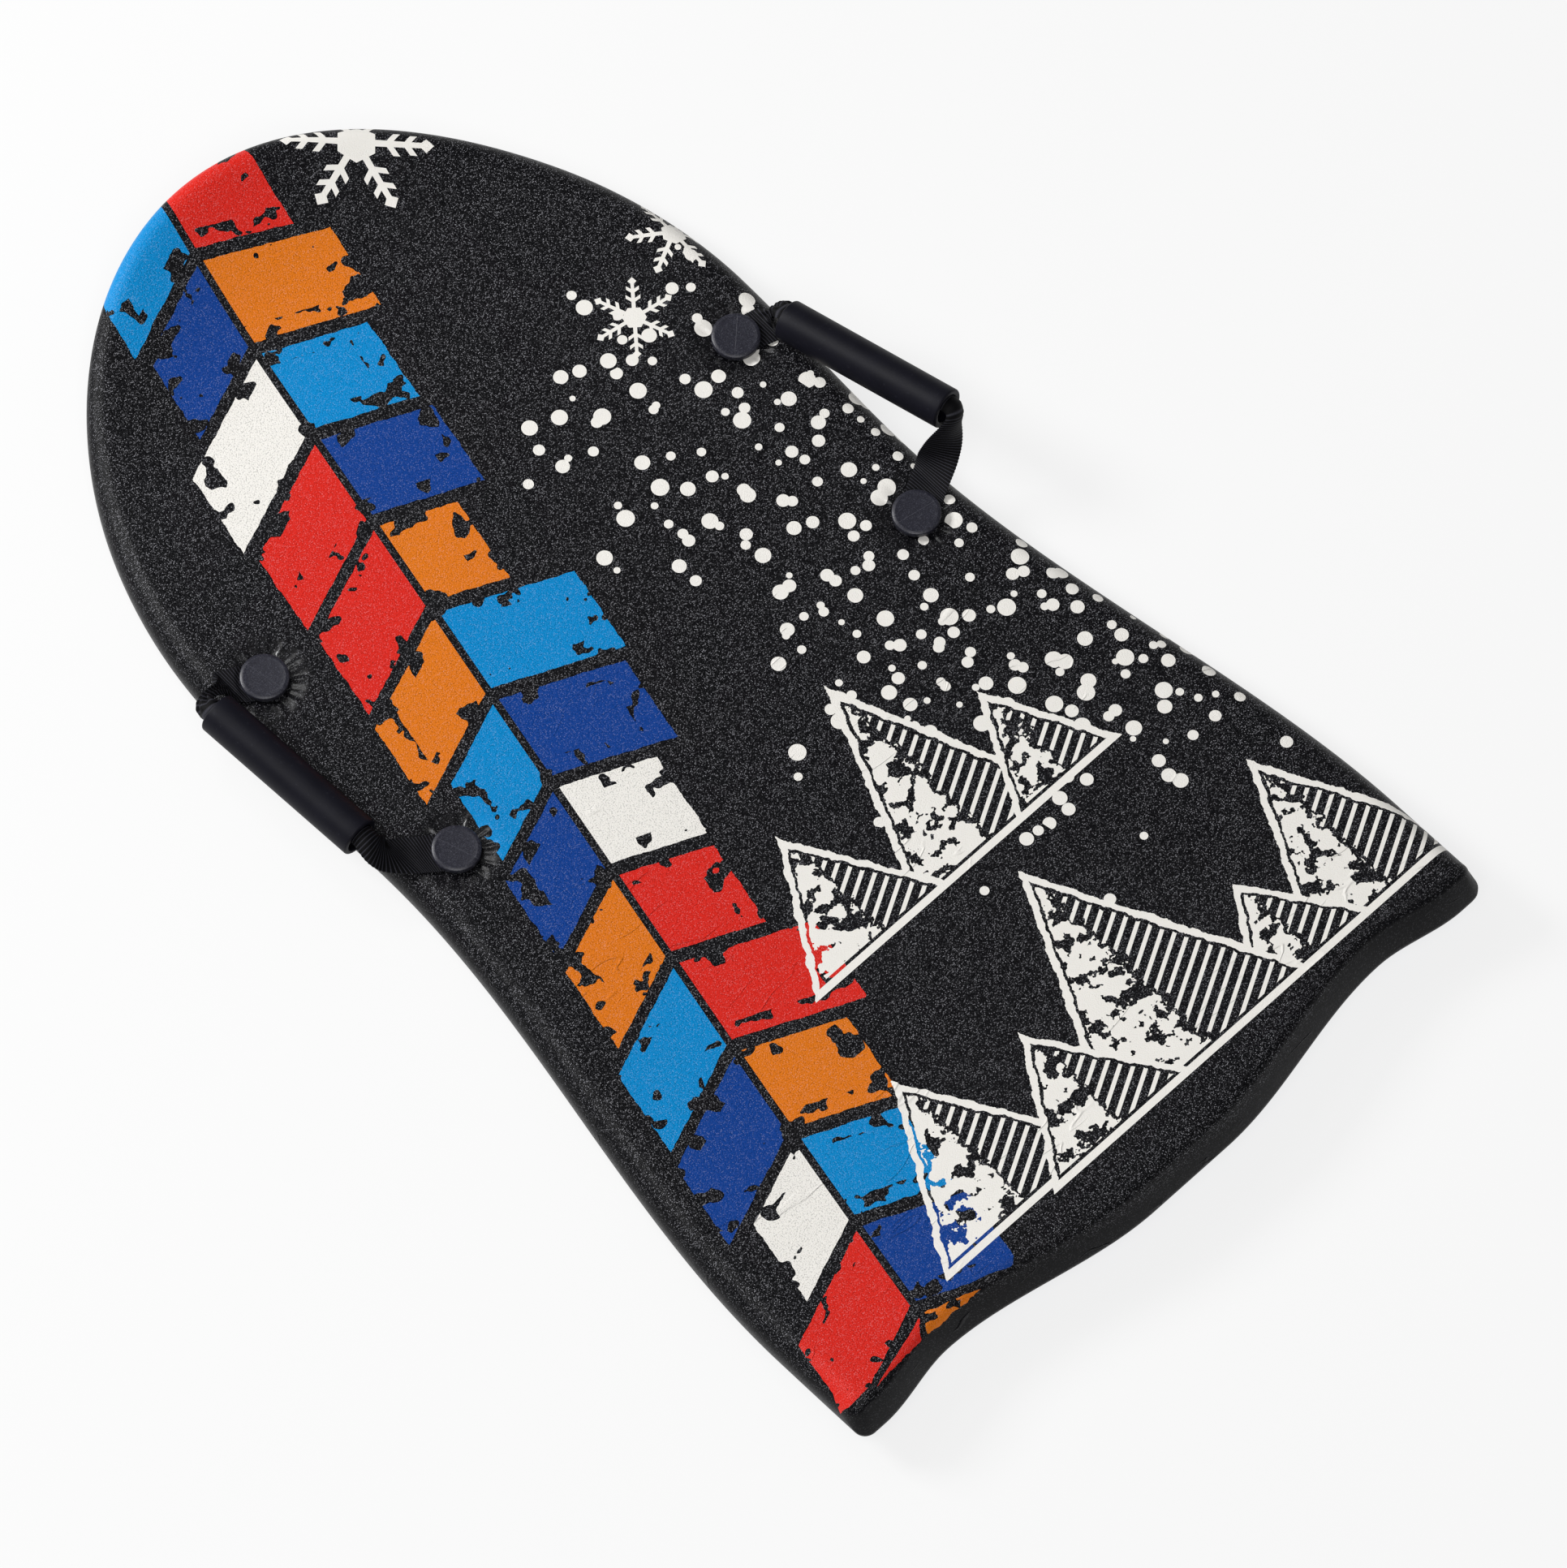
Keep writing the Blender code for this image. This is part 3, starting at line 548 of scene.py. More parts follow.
def pressed(x, y):
    """Height of the bowls, their soft rims and their ridges at many places."""
    total = np.zeros_like(x)
    for number, (radius, angle, clear) in enumerate(round_the_plugs(x, y)):
        wave = sum(part * np.sin(angle * n + turn * number) for n, part, turn in RIDGE_WAVES)
        ridge = ease((radius - HEAD_RADIUS) / RIDGE_START)
        ridge *= ease((BOWL_RADIUS - radius) / RIDGE_FADE)
        rim = ease((radius - BOWL_FLAT) / (RIM_TOP - BOWL_FLAT))
        rim *= 1 - ease((radius - RIM_TOP) / (RIM_END - RIM_TOP))
        total -= BOWL_DEPTH * (1 - ease((radius - BOWL_FLAT) / (BOWL_RADIUS - BOWL_FLAT)))
        total += (RIDGE_HEIGHT * (wave / 2 + 0.4) * ridge + RIM_RISE * rim) * clear
    return total


def drawn_tight(x, y):
    """How far the film is drawn smooth round the heads, from 0 to 1."""
    total = np.zeros_like(x)
    for radius, _, clear in round_the_plugs(x, y):
        total += ease((TIGHT_REACH - radius) / TIGHT_FADE) * clear
    return np.clip(total, 0, 1)


print("plugs at", {n: (round(p.x * 1000, 1), round(p.y * 1000, 1)) for n, p in PLUGS.items()})

# %% [markdown]
# ## Points over the deck
# The deck is filled with a lattice of points about 4 mm apart, close enough to carry the
# bowls and the soft waves of a film laid by hand. Rings of closer points go round each plug.
# Blender's own triangulation then joins them with the edge loop, which keeps that loop's
# points as they are, so the deck and the rail share them.

# %% Deck lattice
DECK_SPACING = 0.0042
INNER_SPACING = 0.025
RING_RADII = [0.009, 0.014, 0.0165, 0.0178, 0.0193, 0.021, 0.023, 0.0253, 0.028, 0.031]
RING_STEPS = 88
RING_FINE_FROM = 0.013
RING_CLEARANCE = 0.0015
EDGE_CLEARANCE = 0.62
PLUG_PLACES = np.array([plug.xy for plug in PLUGS.values()])


def inside(points, loop):
    """Which points lie inside a closed loop, by counting the edges to their right."""
    found = np.zeros(len(points), bool)
    for (ax, ay), (bx, by) in zip(loop, np.roll(loop, -1, axis=0)):
        across = (ay > points[:, 1]) != (by > points[:, 1])
        x = ax + (points[across, 1] - ay) * (bx - ax) / (by - ay)
        found[across] ^= points[across, 0] < x
    return found


def away(points, others, distance):
    """Which points are farther than a distance from all the others."""
    keep = np.ones(len(points), bool)
    for other in others:
        keep &= np.hypot(*(points - other).T) > distance
    return keep


def lattice(loop, spacing):
    """A honeycomb of points inside a loop."""
    rows = np.arange(0, LENGTH, spacing * math.sqrt(0.75))
    columns = np.arange(-TAIL_HALF_WIDTH, TAIL_HALF_WIDTH, spacing)
    grid = [(x + spacing / 2 * (i % 2), y) for i, y in enumerate(rows) for x in columns]
    points = np.array(grid)
    points = points[inside(points, loop)]
    return points[away(points, loop, spacing * EDGE_CLEARANCE)]


def plug_rings(loop, radii):
    """Rings of points round each plug, coarse where the head hides them."""
    angles = np.arange(RING_STEPS) * 2 * math.pi / RING_STEPS
    places = []
    for place in PLUG_PLACES:
        for i, radius in enumerate(radii):
            turned = angles + (i % 2) * math.pi / RING_STEPS
            ring = np.stack([np.cos(turned), np.sin(turned)], 1) * radius
            places.append(ring[:: 4 if radius < RING_FINE_FROM else 1] + place)
    points = np.concatenate(places)
    points = points[inside(points, loop)]
    return points[away(points, loop, RING_CLEARANCE)]


def filled(loop, points):
    """Triangles over a loop and the points in it, by their numbers with the loop's first."""
    count = len(loop)
    coords = [Vector(p) for p in loop] + [Vector(p) for p in points]
    edges = [(i, (i + 1) % count) for i in range(count)]
    made = geometry.delaunay_2d_cdt(coords, edges, [], 1, 1e-7)
    number = [origins[0] for origins in made[3]]
    return [tuple(number[i] for i in face) for face in made[2]]


deck_loop = outer_wall[-1, :, :2]
deck_points = lattice(deck_loop, DECK_SPACING)
deck_points = deck_points[away(deck_points, PLUG_PLACES, BOWL_RADIUS + DECK_SPACING / 2)]
deck_points = np.concatenate([deck_points, plug_rings(deck_loop, RING_RADII)])
deck_faces = filled(deck_loop, deck_points)
print("deck lattice:", len(deck_points), "points,", len(deck_faces), "triangles")

# %% [markdown]
# ## The deck film
# On the real board a sheet of printed film is heat-bonded to the foam's deck, drawn over the
# rails and the tail, and tucked under the slick sheet. It is modelled as that: one shell with
# a thickness, open below. Each point also stores where it lay on the flat printed sheet, so
# the print runs over the edges without stretching.

# %% Film shell
WAVE_HEIGHT, WAVES_ACROSS, WAVES_ALONG = 0.00035, 14, 11
FOLD_HEIGHT, FOLDS_ACROSS, FOLDS_ALONG = 0.00012, 9, 60
FOLD_END, FOLD_FADE = 0.45, 0.3


def soft_waves(x, y):
    """The gentle unevenness of the film, and longer folds across the tail half."""
    heights = []
    for a, b in zip(x, y):
        broad = noise.noise(Vector((a * WAVES_ACROSS, b * WAVES_ALONG, 0)))
        folds = noise.noise(Vector((a * FOLDS_ACROSS + 5, b * FOLDS_ALONG, 3)))
        tail = float(ease((FOLD_END - b) / FOLD_FADE))
        heights.append(WAVE_HEIGHT * broad + FOLD_HEIGHT * folds * tail)
    return np.array(heights)


def sheet_places(wall):
    """Where each point of the edge lay on the flat sheet: beyond the deck by its way round."""
    steps = np.linalg.norm(np.diff(wall, axis=0), axis=2)
    way = np.vstack([np.cumsum(steps[::-1], axis=0)[::-1], np.zeros(wall.shape[1])])
    widest = np.argmax(np.linalg.norm(wall[:, :, :2] - wall[-1, :, :2], axis=2), axis=0)
    out = wall[widest, np.arange(wall.shape[1]), :2] - wall[-1, :, :2]
    out /= np.linalg.norm(out, axis=1)[:, None]
    return wall[-1, :, :2] + out * way[:, :, None], way


def build_deck_film(finish):
    """The film as one shell: outer wall and deck, then the inner ones, joined at the lip."""
    levels, count = outer_wall.shape[:2]
    flat, way = sheet_places(outer_wall)
    level_up = np.repeat(np.linspace(0, 1, levels) ** 3, count)
    outer = outer_wall.reshape(-1, 3).copy()
    deck_z = THICKNESS * thinness(deck_points[:, 1])
    outer = np.vstack([outer, np.column_stack([deck_points, deck_z])])
    up = np.concatenate([level_up, np.ones(len(deck_points))])
    outer[:, 2] += up * (pressed(outer[:, 0], outer[:, 1]) + soft_waves(outer[:, 0], outer[:, 1]))
    inner_loop = inner_wall[-1, :, :2]
    inner_points = lattice(inner_loop, INNER_SPACING)
    inner_z = THICKNESS * thinness(inner_points[:, 1]) - SKIN_THICKNESS
    inner = np.vstack([inner_wall.reshape(-1, 3), np.column_stack([inner_points, inner_z])])

    faces = []
    inner_faces = filled(inner_loop, inner_points)
    for start, rows, deck in ((0, levels, deck_faces), (len(outer), len(inner_wall), inner_faces)):
        faces += stacked_rows(rows, count, start)
        top = start + (rows - 1) * count
        faces += [tuple(i + top for i in face) for face in deck]
    faces += joined_rows(range(count), range(start, start + count))

    points = np.vstack([outer, inner])
    points[:, 2] += lift(points[:, 1])
    points[:, 1] -= MIDDLE_STATION
    film = new_piece("deck_film", points, faces, finish)
    sheet = np.vstack([flat.reshape(-1, 2), deck_points, inner[:, :2]])
    sheet[:, 1] -= MIDDLE_STATION
    store(film, "sheet_place", np.column_stack([sheet, np.zeros(len(sheet))]))
    around = np.concatenate([way.ravel(), np.zeros(len(deck_points) + len(inner))])
    store(film, "round_the_edge", around)
    stations = points[:, 1] + MIDDLE_STATION
    store(film, "drawn_tight", drawn_tight(points[:, 0], stations))
    return film


# %% [markdown]
# ## The print
# The film is printed in five inks on black. A column of slanted bars runs down the left
# side, mountains rise from the tail, snow fills the right half and a few six-armed flakes
# sit near the nose. Each motif is a mask made of sums on the sheet's own millimetres. An
# image would need a file and would blur close up, and masks stay sharp at any size.

# %% Inks
INK_BLUE = srgb(10, 60, 139)
INK_SKY = srgb(0, 132, 198)
INK_RED = srgb(213, 38, 28)
INK_ORANGE = srgb(218, 116, 22)
INK_WHITE = srgb(236, 233, 227)
FILM_BLACK = srgb(5, 5, 8)

# %% [markdown]
# The bars lean away from the column's middle line, like a row of arrowheads pointing to the
# nose. Dividing the way along the leaning direction by the bars' pitch gives each bar a
# number, and the number picks its ink and its length. A little noise added to the sums
# before they are compared roughens the edges, and larger noise bites pieces out of them.
# The column stops short of the tail's edge, where the film folds down.

# %% Slanted bars
BAR_PITCH, BAR_SLANT = 68.0, 0.42
BAR_GAP, COLUMN_GAP = 0.13, 2.5
BAR_REACH, BAR_REACH_MORE = 48, 42
BAR_END_Y = -427.0
STEP_TORN, REACH_TORN, END_TORN = 0.22, 0.25, 0.4
BITE_BAND, BITE_BEFORE, BITE_AFTER = 17, BAR_GAP + 0.17, 0.86
BITE_SIZE, BITE_LEVEL = 17, 0.585
COLUMN_X, COLUMN_DRIFT = -106.0, 0.2
BAR_INKS = [
    INK_BLUE, INK_RED, INK_ORANGE, INK_BLUE, INK_SKY, INK_WHITE, INK_RED, INK_SKY, INK_ORANGE,
]


def coloured_bars(film, x, y, torn):
    """Mask and ink of the bars."""
    aside = x - (y * COLUMN_DRIFT + COLUMN_X)
    spread = abs(aside)
    step = (y + spread * BAR_SLANT + torn * STEP_TORN) / BAR_PITCH
    along = step % 1
    row = step - along
    left = aside < 0
    count = len(BAR_INKS)
    number = ((row * 4 + left * 7 + 0.5) % count) / count
    stops = [(i / count, ink) for i, ink in enumerate(BAR_INKS)]
    ink = film.node("ShaderNodeValToRGB", {"stops": stops}, {0: number})
    one_bar = film.joined(row, left)
    lot = film.node("ShaderNodeTexWhiteNoise", {"noise_dimensions": "2D"}, {0: one_bar})
    rest = lot * BAR_REACH_MORE + BAR_REACH - spread + torn * REACH_TORN
    near_edge = (rest < BITE_BAND) | (along < BITE_BEFORE) | (along > BITE_AFTER)
    bites = (film.noise(film.joined(x, y), BITE_SIZE, 2, 0.4) > BITE_LEVEL) & near_edge
    on_deck = (y + torn * END_TORN) > BAR_END_Y
    return (along > BAR_GAP) & (rest > 0) & (spread > COLUMN_GAP) & (1 - bites) & on_deck, ink


# %% [markdown]
# A mountain is a triangle with a bold rim. Its left face is snow with holes worn into it, its
# right face is hatched, and a crooked ridge parts them. Nearer mountains cover those behind.

# %% Mountains
RIM_WIDTH, RIM_TORN, RIM_GAP = 5.0, 0.5, 2.2
HATCH_PITCH, HATCH_SHARE, HATCH_LEAN = 9.0, 0.34, 0.55
RIDGE_X, RIDGE_TORN, RIDGE_GAP = 3, 1.8, 1.6
MOUNTAINS = [
    # middle x, foot y, half width, height
    (62, -214, 62, 150),
    (-30, -214, 58, 96),
    (128, -214, 44, 84),
    (216, -408, 66, 128),
    (150, -408, 52, 74),
    (-92, -404, 70, 120),
    (62, -408, 84, 172),
    (-14, -408, 60, 92),
]


def mountains(x, y, torn, worn):
    """White ink of the mountains, and the area that they cover."""
    ink = covered = 0.0
    for middle, foot, half, height in MOUNTAINS:
        across = x - middle
        down = foot + height - y
        slope = half / height
        edge = down * slope - abs(across) + torn * RIM_TORN
        body = (edge > 0) & (down < height)
        rim = (edge < RIM_WIDTH) | (down > height - RIM_WIDTH)
        ridge = across - torn * RIDGE_TORN - RIDGE_X
        hatch = ((across * HATCH_LEAN + down) / HATCH_PITCH) % 1 < HATCH_SHARE
        face = ((ridge < -RIDGE_GAP) & worn) | ((ridge > RIDGE_GAP) & hatch)
        clear = RIM_WIDTH + RIM_GAP
        drawn = rim | (face & (edge > clear) & (down < height - clear))
        ink = drawn * body + (1 - body) * ink
        covered = body | covered
    return ink, covered


# %% [markdown]
# A snowflake repeats one arm six times. The angle about its middle is folded into one sixth
# of a turn, so the arm, its branches and its tip are drawn once.

# %% Snowflakes
FLAKES = [
    # middle x, middle y, radius, turn in degrees
    (104, 402, 47, 13),
    (150, 198, 27, 40),
    (209, 224, 30, 5),
]
# All in shares of the flake's radius
ARM_LENGTH, ARM_HALF_WIDTH, ARM_TAPER = 0.93, 0.05, 0.012
CORE_RADIUS, TIP_SIZE = 0.25, 0.105
BRANCHES = ((0.42, 0.17), (0.66, 0.15))
BRANCH_HALF_WIDTH, BRANCH_COS, BRANCH_SIN = 0.038, 0.82, 0.57


def snowflake(film, x, y, middle_x, middle_y, radius, turn):
    """Mask of one flake."""
    dx, dy = (x - middle_x) / radius, (y - middle_y) / radius
    out = film.maths("SQRT", dx * dx + dy * dy)
    angle = film.maths("ARCTAN2", dy, dx) + (math.pi * 2 + math.radians(turn))
    folded = angle % (math.pi / 3) - math.pi / 6
    along = out * film.maths("COSINE", folded)
    beside = abs(out * film.maths("SINE", folded))
    arm = (beside < ARM_HALF_WIDTH - along * ARM_TAPER) & (along < ARM_LENGTH)
    tip = (abs(along - ARM_LENGTH) + beside) < TIP_SIZE
    shape = arm | (along < CORE_RADIUS) | tip
    for start, length in BRANCHES:
        lean = (along - start) * BRANCH_COS - beside * BRANCH_SIN
        shape = shape | ((abs(lean) < BRANCH_HALF_WIDTH) & (beside < length))
    return shape


# %% [markdown]
# Snow is random dots in three sizes. Each dot belongs to a cell of a Voronoi pattern, and
# the cell's own random colour decides how big the dot is and whether it is there at all. The
# chance rises towards the right rail and falls off at the nose and tail.

# %% Snow
SNOW_LAYERS = [
    # cell size, smallest radius, range of radius, share of the cells that hold a dot
    (22.0, 2.6, 3.2, 0.62),
    (15.0, 1.9, 2.6, 0.34),
    (31.0, 4.2, 1.6, 0.5),
]
SNOW_SCATTER = 0.72
SNOW_SHIFT_X, SNOW_SHIFT_Y = 37.0, 911.0
SNOW_ACROSS, SNOW_TAIL, SNOW_NOSE = (-5, 120), (-330, -170), (150, 250)


def snow(film, place):
    """Mask of the dots."""
    dots = 0.0
    for number, (size, least, more, share) in enumerate(SNOW_LAYERS):
        shift = SNOW_SHIFT_X * number
        moved = film.moved(place, shift, SNOW_SHIFT_Y, 0)
        distance, colour, middle = film.cells(moved, size, SNOW_SCATTER)
        lots = film.parts(colour)
        cell_x, cell_y, _ = film.parts(middle)
        cell_y = cell_y - SNOW_SHIFT_Y
        along = film.eased(cell_y, *SNOW_TAIL) * (1 - film.eased(cell_y, *SNOW_NOSE))
        there = lots[0] < film.eased(cell_x - shift, *SNOW_ACROSS) * along * share
        dots = (distance * size < lots[1] * more + least) & there | dots
    return dots


# %% [markdown]
# ## The film's surface
# The film is embossed with fine pebbles, about 0.8 mm apart. Their relief catches the light,
# and a random share of their tops is painted pale as a highlight, so the deck glitters.
# Painted shade in the pits between them darkens the coloured inks a little. The pebbles fade
# where the film is drawn over the rails. Short creases cross the tail half, where boards like
# this are bent and knelt on. Round the plug heads the film is drawn tight: smoother and
# glossier, so its ridges shine.

# %% Film finish
PEBBLE, PEBBLE_TOP, PEBBLE_PIT = 0.78, (0.1, 0.58), (0.45, 0.75)
# Strengths of the highlight painted on the pebbles' tops, on black and on ink
SOFT_PAINTED_GLINT, BRIGHT_PAINTED_GLINT, PAINTED_GLINT_ON_INK = 0.04, 0.36, 0.5
# Colour of the painted highlight, and strength of the shade painted in the pebbles' pits
PAINTED_GLINT_COLOUR, PAINTED_PIT_SHADE = (0.85, 0.85, 0.92), 0.3
SMOOTH_EDGE, SMOOTHER_EDGE, SMOOTHER_TIGHT = (6, 24), 0.85, 0.6
PEBBLE_RELIEF, CREASE_RELIEF = 0.16, 0.5
CREASE_STRETCH, CREASE_SIZE, CREASE_WIDTH = (0.35, 1.25, 1), 34, 0.012
CREASE_PATCH_SIZE, CREASE_PATCH, CREASE_NOSE = 45, (0.53, 0.62), (-80, 120)
TORN_SIZE, TORN_REACH, WORN_SIZE, WORN_LEVEL = 11, 15, 13, 0.53


def creases(film, place, y):
    """Thin broken creases across the tail half."""
    long_way = film.noise(film.sized(place, *CREASE_STRETCH), CREASE_SIZE, 2)
    line = film.eased(abs(long_way - 0.5), 0.0, CREASE_WIDTH)
    patch = film.eased(film.noise(place, CREASE_PATCH_SIZE, 1), *CREASE_PATCH)
    return (1 - line) * patch * (1 - film.eased(y, *CREASE_NOSE))


def film_finish():
    film = Finish("printed_film", specular_ior_level=0.11)
    place = film.millimetres(film.stored("sheet_place", "Vector"))
    x, y, _ = film.parts(place)
    torn = (film.noise(place, TORN_SIZE, 3, 0.65) - 0.5) * TORN_REACH
    worn = film.noise(place, WORN_SIZE, 3, 0.6) < WORN_LEVEL
    bars, bar_ink = coloured_bars(film, x, y, torn)
    white, covered = mountains(x, y, torn, worn)
    dots = snow(film, place) & (1 - covered) & (1 - bars)
    flakes = 0.0
    for flake in FLAKES:
        flakes = snowflake(film, x, y, *flake) | flakes
    white = white | dots | flakes

    distance, lots, _ = film.cells(place, PEBBLE)
    lot = film.parts(lots)
    tight = film.stored("drawn_tight")
    edge = film.eased(film.stored("round_the_edge") * 1000, *SMOOTH_EDGE)
    rough = 1 - (edge * SMOOTHER_EDGE | tight * SMOOTHER_TIGHT)
    top = (1 - film.eased(distance, *PEBBLE_TOP)) * rough
    # Painted shade: the inks are darkened in the pits between the pebbles
    pit_painted_shade = film.eased(distance, *PEBBLE_PIT) * rough * PAINTED_PIT_SHADE
    # Painted highlight: a random share of the pebbles' tops is mixed towards a pale colour
    luck = lot[0] * lot[0]
    painted_glint = luck * SOFT_PAINTED_GLINT + luck * luck * luck * BRIGHT_PAINTED_GLINT
    painted_glint = top * painted_glint * (1 - (bars | white) * (1 - PAINTED_GLINT_ON_INK))
    colour = film.mix(bars * (1 - pit_painted_shade), FILM_BLACK, bar_ink)
    colour = film.mix(white, colour, INK_WHITE)
    colour = film.mix(painted_glint, colour, PAINTED_GLINT_COLOUR)
    pebbles = (1 - distance * 0.9 + lot[1] * 0.6) * rough
    film.bump(pebbles * PEBBLE_RELIEF + creases(film, place, y) * CREASE_RELIEF, 0.001)
    film.set(
        base_color=colour,
        roughness=0.3 + lot[2] * 0.14 - tight * 0.08,
        coat_weight=tight * 0.5,
        coat_roughness=0.2,
    )
    return film


deck_film = build_deck_film(film_finish())
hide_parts("deck_skin")
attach(deck_film, "board")

# %% [markdown]
# ## Slick sheet and foam
# The slick sheet is a hard plastic skin under the board. It is smooth and glossy, with fine
# scratches that run lengthwise from sliding, and it is pressed up into a dish round each nut,
# so that nothing stands out below. It is filled the way the deck is, with rings of points
# where it bends. The foam shows nowhere from outside. Its solid stays and gets its beads.

# %% Slick sheet
SHEET_GAP, SLICK_THICKNESS, SLICK_SPACING = 0.0003, 0.0015, 0.012
NUT_HOLE_RADIUS = 0.0083
DISH_SEAT, DISH_END, DISH_DEPTH = 0.0163, 0.0223, 0.0028
DISH_RADII = [NUT_HOLE_RADIUS, 0.0115, 0.0145, DISH_SEAT, 0.0169, 0.0176, 0.0184, 0.0193]
DISH_RADII += [0.0202, 0.021, 0.0217, DISH_END, 0.0245]


def dished(x, y):
    """Height of the dishes that take the nuts' flanges."""
    total = np.zeros_like(x)
    for plug_x, plug_y in PLUG_PLACES:
        beyond = np.hypot(x - plug_x, y - plug_y) - DISH_SEAT
        total += DISH_DEPTH * (1 - ease(beyond / (DISH_END - DISH_SEAT)))
    return total


def build_slick_sheet(finish):
    rail, tail = edge_levels(1, 1)[0]
    edge = edge_loop((rail[0] + SHEET_GAP, 0, 0, 0), (tail[0] + SHEET_GAP, 0, 0, 0), 0.0)
    loop = np.array(edge)[:, :2]
    points = lattice(loop, SLICK_SPACING)
    points = points[away(points, PLUG_PLACES, DISH_RADII[-1] + SLICK_SPACING / 4)]
    points = np.concatenate([points, plug_rings(loop, DISH_RADII)])
    flat = np.concatenate([loop, points])
    faces = np.array(filled(loop, points))
    faces = faces[away(flat[faces].mean(axis=1), PLUG_PLACES, NUT_HOLE_RADIUS)]

    low = np.column_stack([flat, dished(*flat.T) + lift(flat[:, 1])])
    low[:, 1] -= MIDDLE_STATION
    count = len(low)
    ways = {(a, b) for face in faces.tolist() for a, b in zip(face, face[1:] + face[:1])}
    rims = [(a, b, b + count, a + count) for a, b in ways if (b, a) not in ways]
    both = faces.tolist() + (faces + count).tolist() + sorted(rims)
    return new_piece("slick_bottom", np.vstack([low, low + (0, 0, SLICK_THICKNESS)]), both, finish)


# %% Slick and foam finishes
SLICK_DARK, SLICK_LIGHT, SLICK_MARK = srgb(14, 34, 88), srgb(20, 46, 108), srgb(120, 135, 170)
SLIDE_STRETCH, SLIDE_SIZE, SLIDE_LEVEL = (1.0, 0.02, 1.0), 0.8, (0.64, 0.7)
SLIDE_PATCH_SIZE, SLIDE_PATCH = 60, (0.4, 0.6)
SLICK_CLOUD_SIZE, SLICK_RIPPLE_SIZE = 90, 9
FOAM_DARK, FOAM_LIGHT = srgb(236, 238, 238), srgb(246, 247, 247)
BEAD_SIZE, BEAD_RELIEF = 3.2, 0.0006


def give_finish(node, finish):
    """Puts a finish on a solid that stays as it is."""
    materials = frame["nodes"][node].data.materials
    for number in range(len(materials)):
        materials[number] = finish.material


def slick_finish():
    slick = Finish("slick_bottom", specular_ior_level=0.5)
    place = slick.place()
    lines = slick.noise(slick.sized(place, *SLIDE_STRETCH), SLIDE_SIZE, 2)
    patches = slick.eased(slick.noise(place, SLIDE_PATCH_SIZE), *SLIDE_PATCH)
    scratches = slick.eased(lines, *SLIDE_LEVEL) * patches
    cloud = slick.noise(place, SLICK_CLOUD_SIZE, 3)
    colour = slick.mix(cloud, SLICK_DARK, SLICK_LIGHT)
    slick.set(
        base_color=slick.mix(scratches * 0.35, colour, SLICK_MARK),
        roughness=0.2 + scratches * 0.25 + cloud * 0.08,
    )
    slick.bump(slick.noise(place, SLICK_RIPPLE_SIZE, 2) * 0.12 - scratches * 0.05, 0.001)
    return slick


def foam_finish():
    foam = Finish("foam_beads", specular_ior_level=0.3)
    distance, lots, _ = foam.cells(foam.place(), BEAD_SIZE)
    lot = foam.parts(lots)
    foam.set(base_color=foam.mix(lot[0], FOAM_DARK, FOAM_LIGHT), roughness=0.85 + lot[1] * 0.1)
    foam.bump(1 - distance, BEAD_RELIEF)
    return foam


slick_bottom = build_slick_sheet(slick_finish())
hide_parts("slick_sheet")
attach(slick_bottom, "board")
give_finish("foam_core", foam_finish())

# %% [markdown]
# ## Geometry Nodes
# Some things repeat: four plugs, four nuts and the ribs of the webbing. For these a small
# node tree does the repeating. `grown` builds the tree's result into a plain mesh, because
# the export reads only plain meshes.

# %% Node tree helper
class Tree:
    """A Geometry Nodes tree with named number inputs."""

    def __init__(self, name, **numbers):
        self.tree = bpy.data.node_groups.new(name, "GeometryNodeTree")
        ends = self.tree.interface
        for way in ("INPUT", "OUTPUT"):
            ends.new_socket("Geometry", in_out=way, socket_type="NodeSocketGeometry")
        self.numbers = {}
        for label, value in numbers.items():
            title = label.replace("_", " ").capitalize()
            socket = ends.new_socket(title, in_out="INPUT", socket_type="NodeSocketFloat")
            self.numbers[socket.identifier] = value
        self.start = self.tree.nodes.new("NodeGroupInput")

    def input(self, title):
        return self.start.outputs[title]

    def node(self, kind, settings, values, output=0):
        return add_node(self.tree, kind, settings, values).outputs[output]

    def maths(self, operation, first, second=0.0):
        return self.node("ShaderNodeMath", {"operation": operation}, {0: first, 1: second})

    def end(self, shape, finish):
        """Closes the tree: real geometry, in this finish."""
        real = self.node("GeometryNodeRealizeInstances", {}, {"Geometry": shape})
        values = {"Geometry": real, "Material": finish.material}
        painted = self.node("GeometryNodeSetMaterial", {}, values)
        self.tree.links.new(painted, self.tree.nodes.new("NodeGroupOutput").inputs[0])


def made_plain(piece):
    """The piece with what its modifiers make of it as its plain mesh."""
    graph = bpy.context.evaluated_depsgraph_get()
    piece.data = bpy.data.meshes.new_from_object(piece.evaluated_get(graph))
    piece.data.name = piece.name
    piece.modifiers.clear()
    return piece


def grown(piece, tree):
    """The piece with the tree's result as its plain mesh."""
    modifier = piece.modifiers.new(tree.tree.name, "NODES")
    modifier.node_group = tree.tree
    for identifier, value in tree.numbers.items():
        modifier[identifier] = value
    made_plain(piece)
    print(f"{piece.name}: {len(piece.data.polygons)} faces after {tree.tree.name}")
    return piece


# %% [markdown]
# ## Plugs and barrel nuts
# Each strap end is clamped by a plug with a low round head, screwed into a barrel nut from
# below. Both are moulded plastic: the heads have a faint raised ring, a rounded rim, fine
# scratches and a parting line from the mould. One of each is turned on a lathe in code, and
# a tree sets it on the four places with a turn of its own.

# %% Turned shapes
ROUND_STEPS = 72


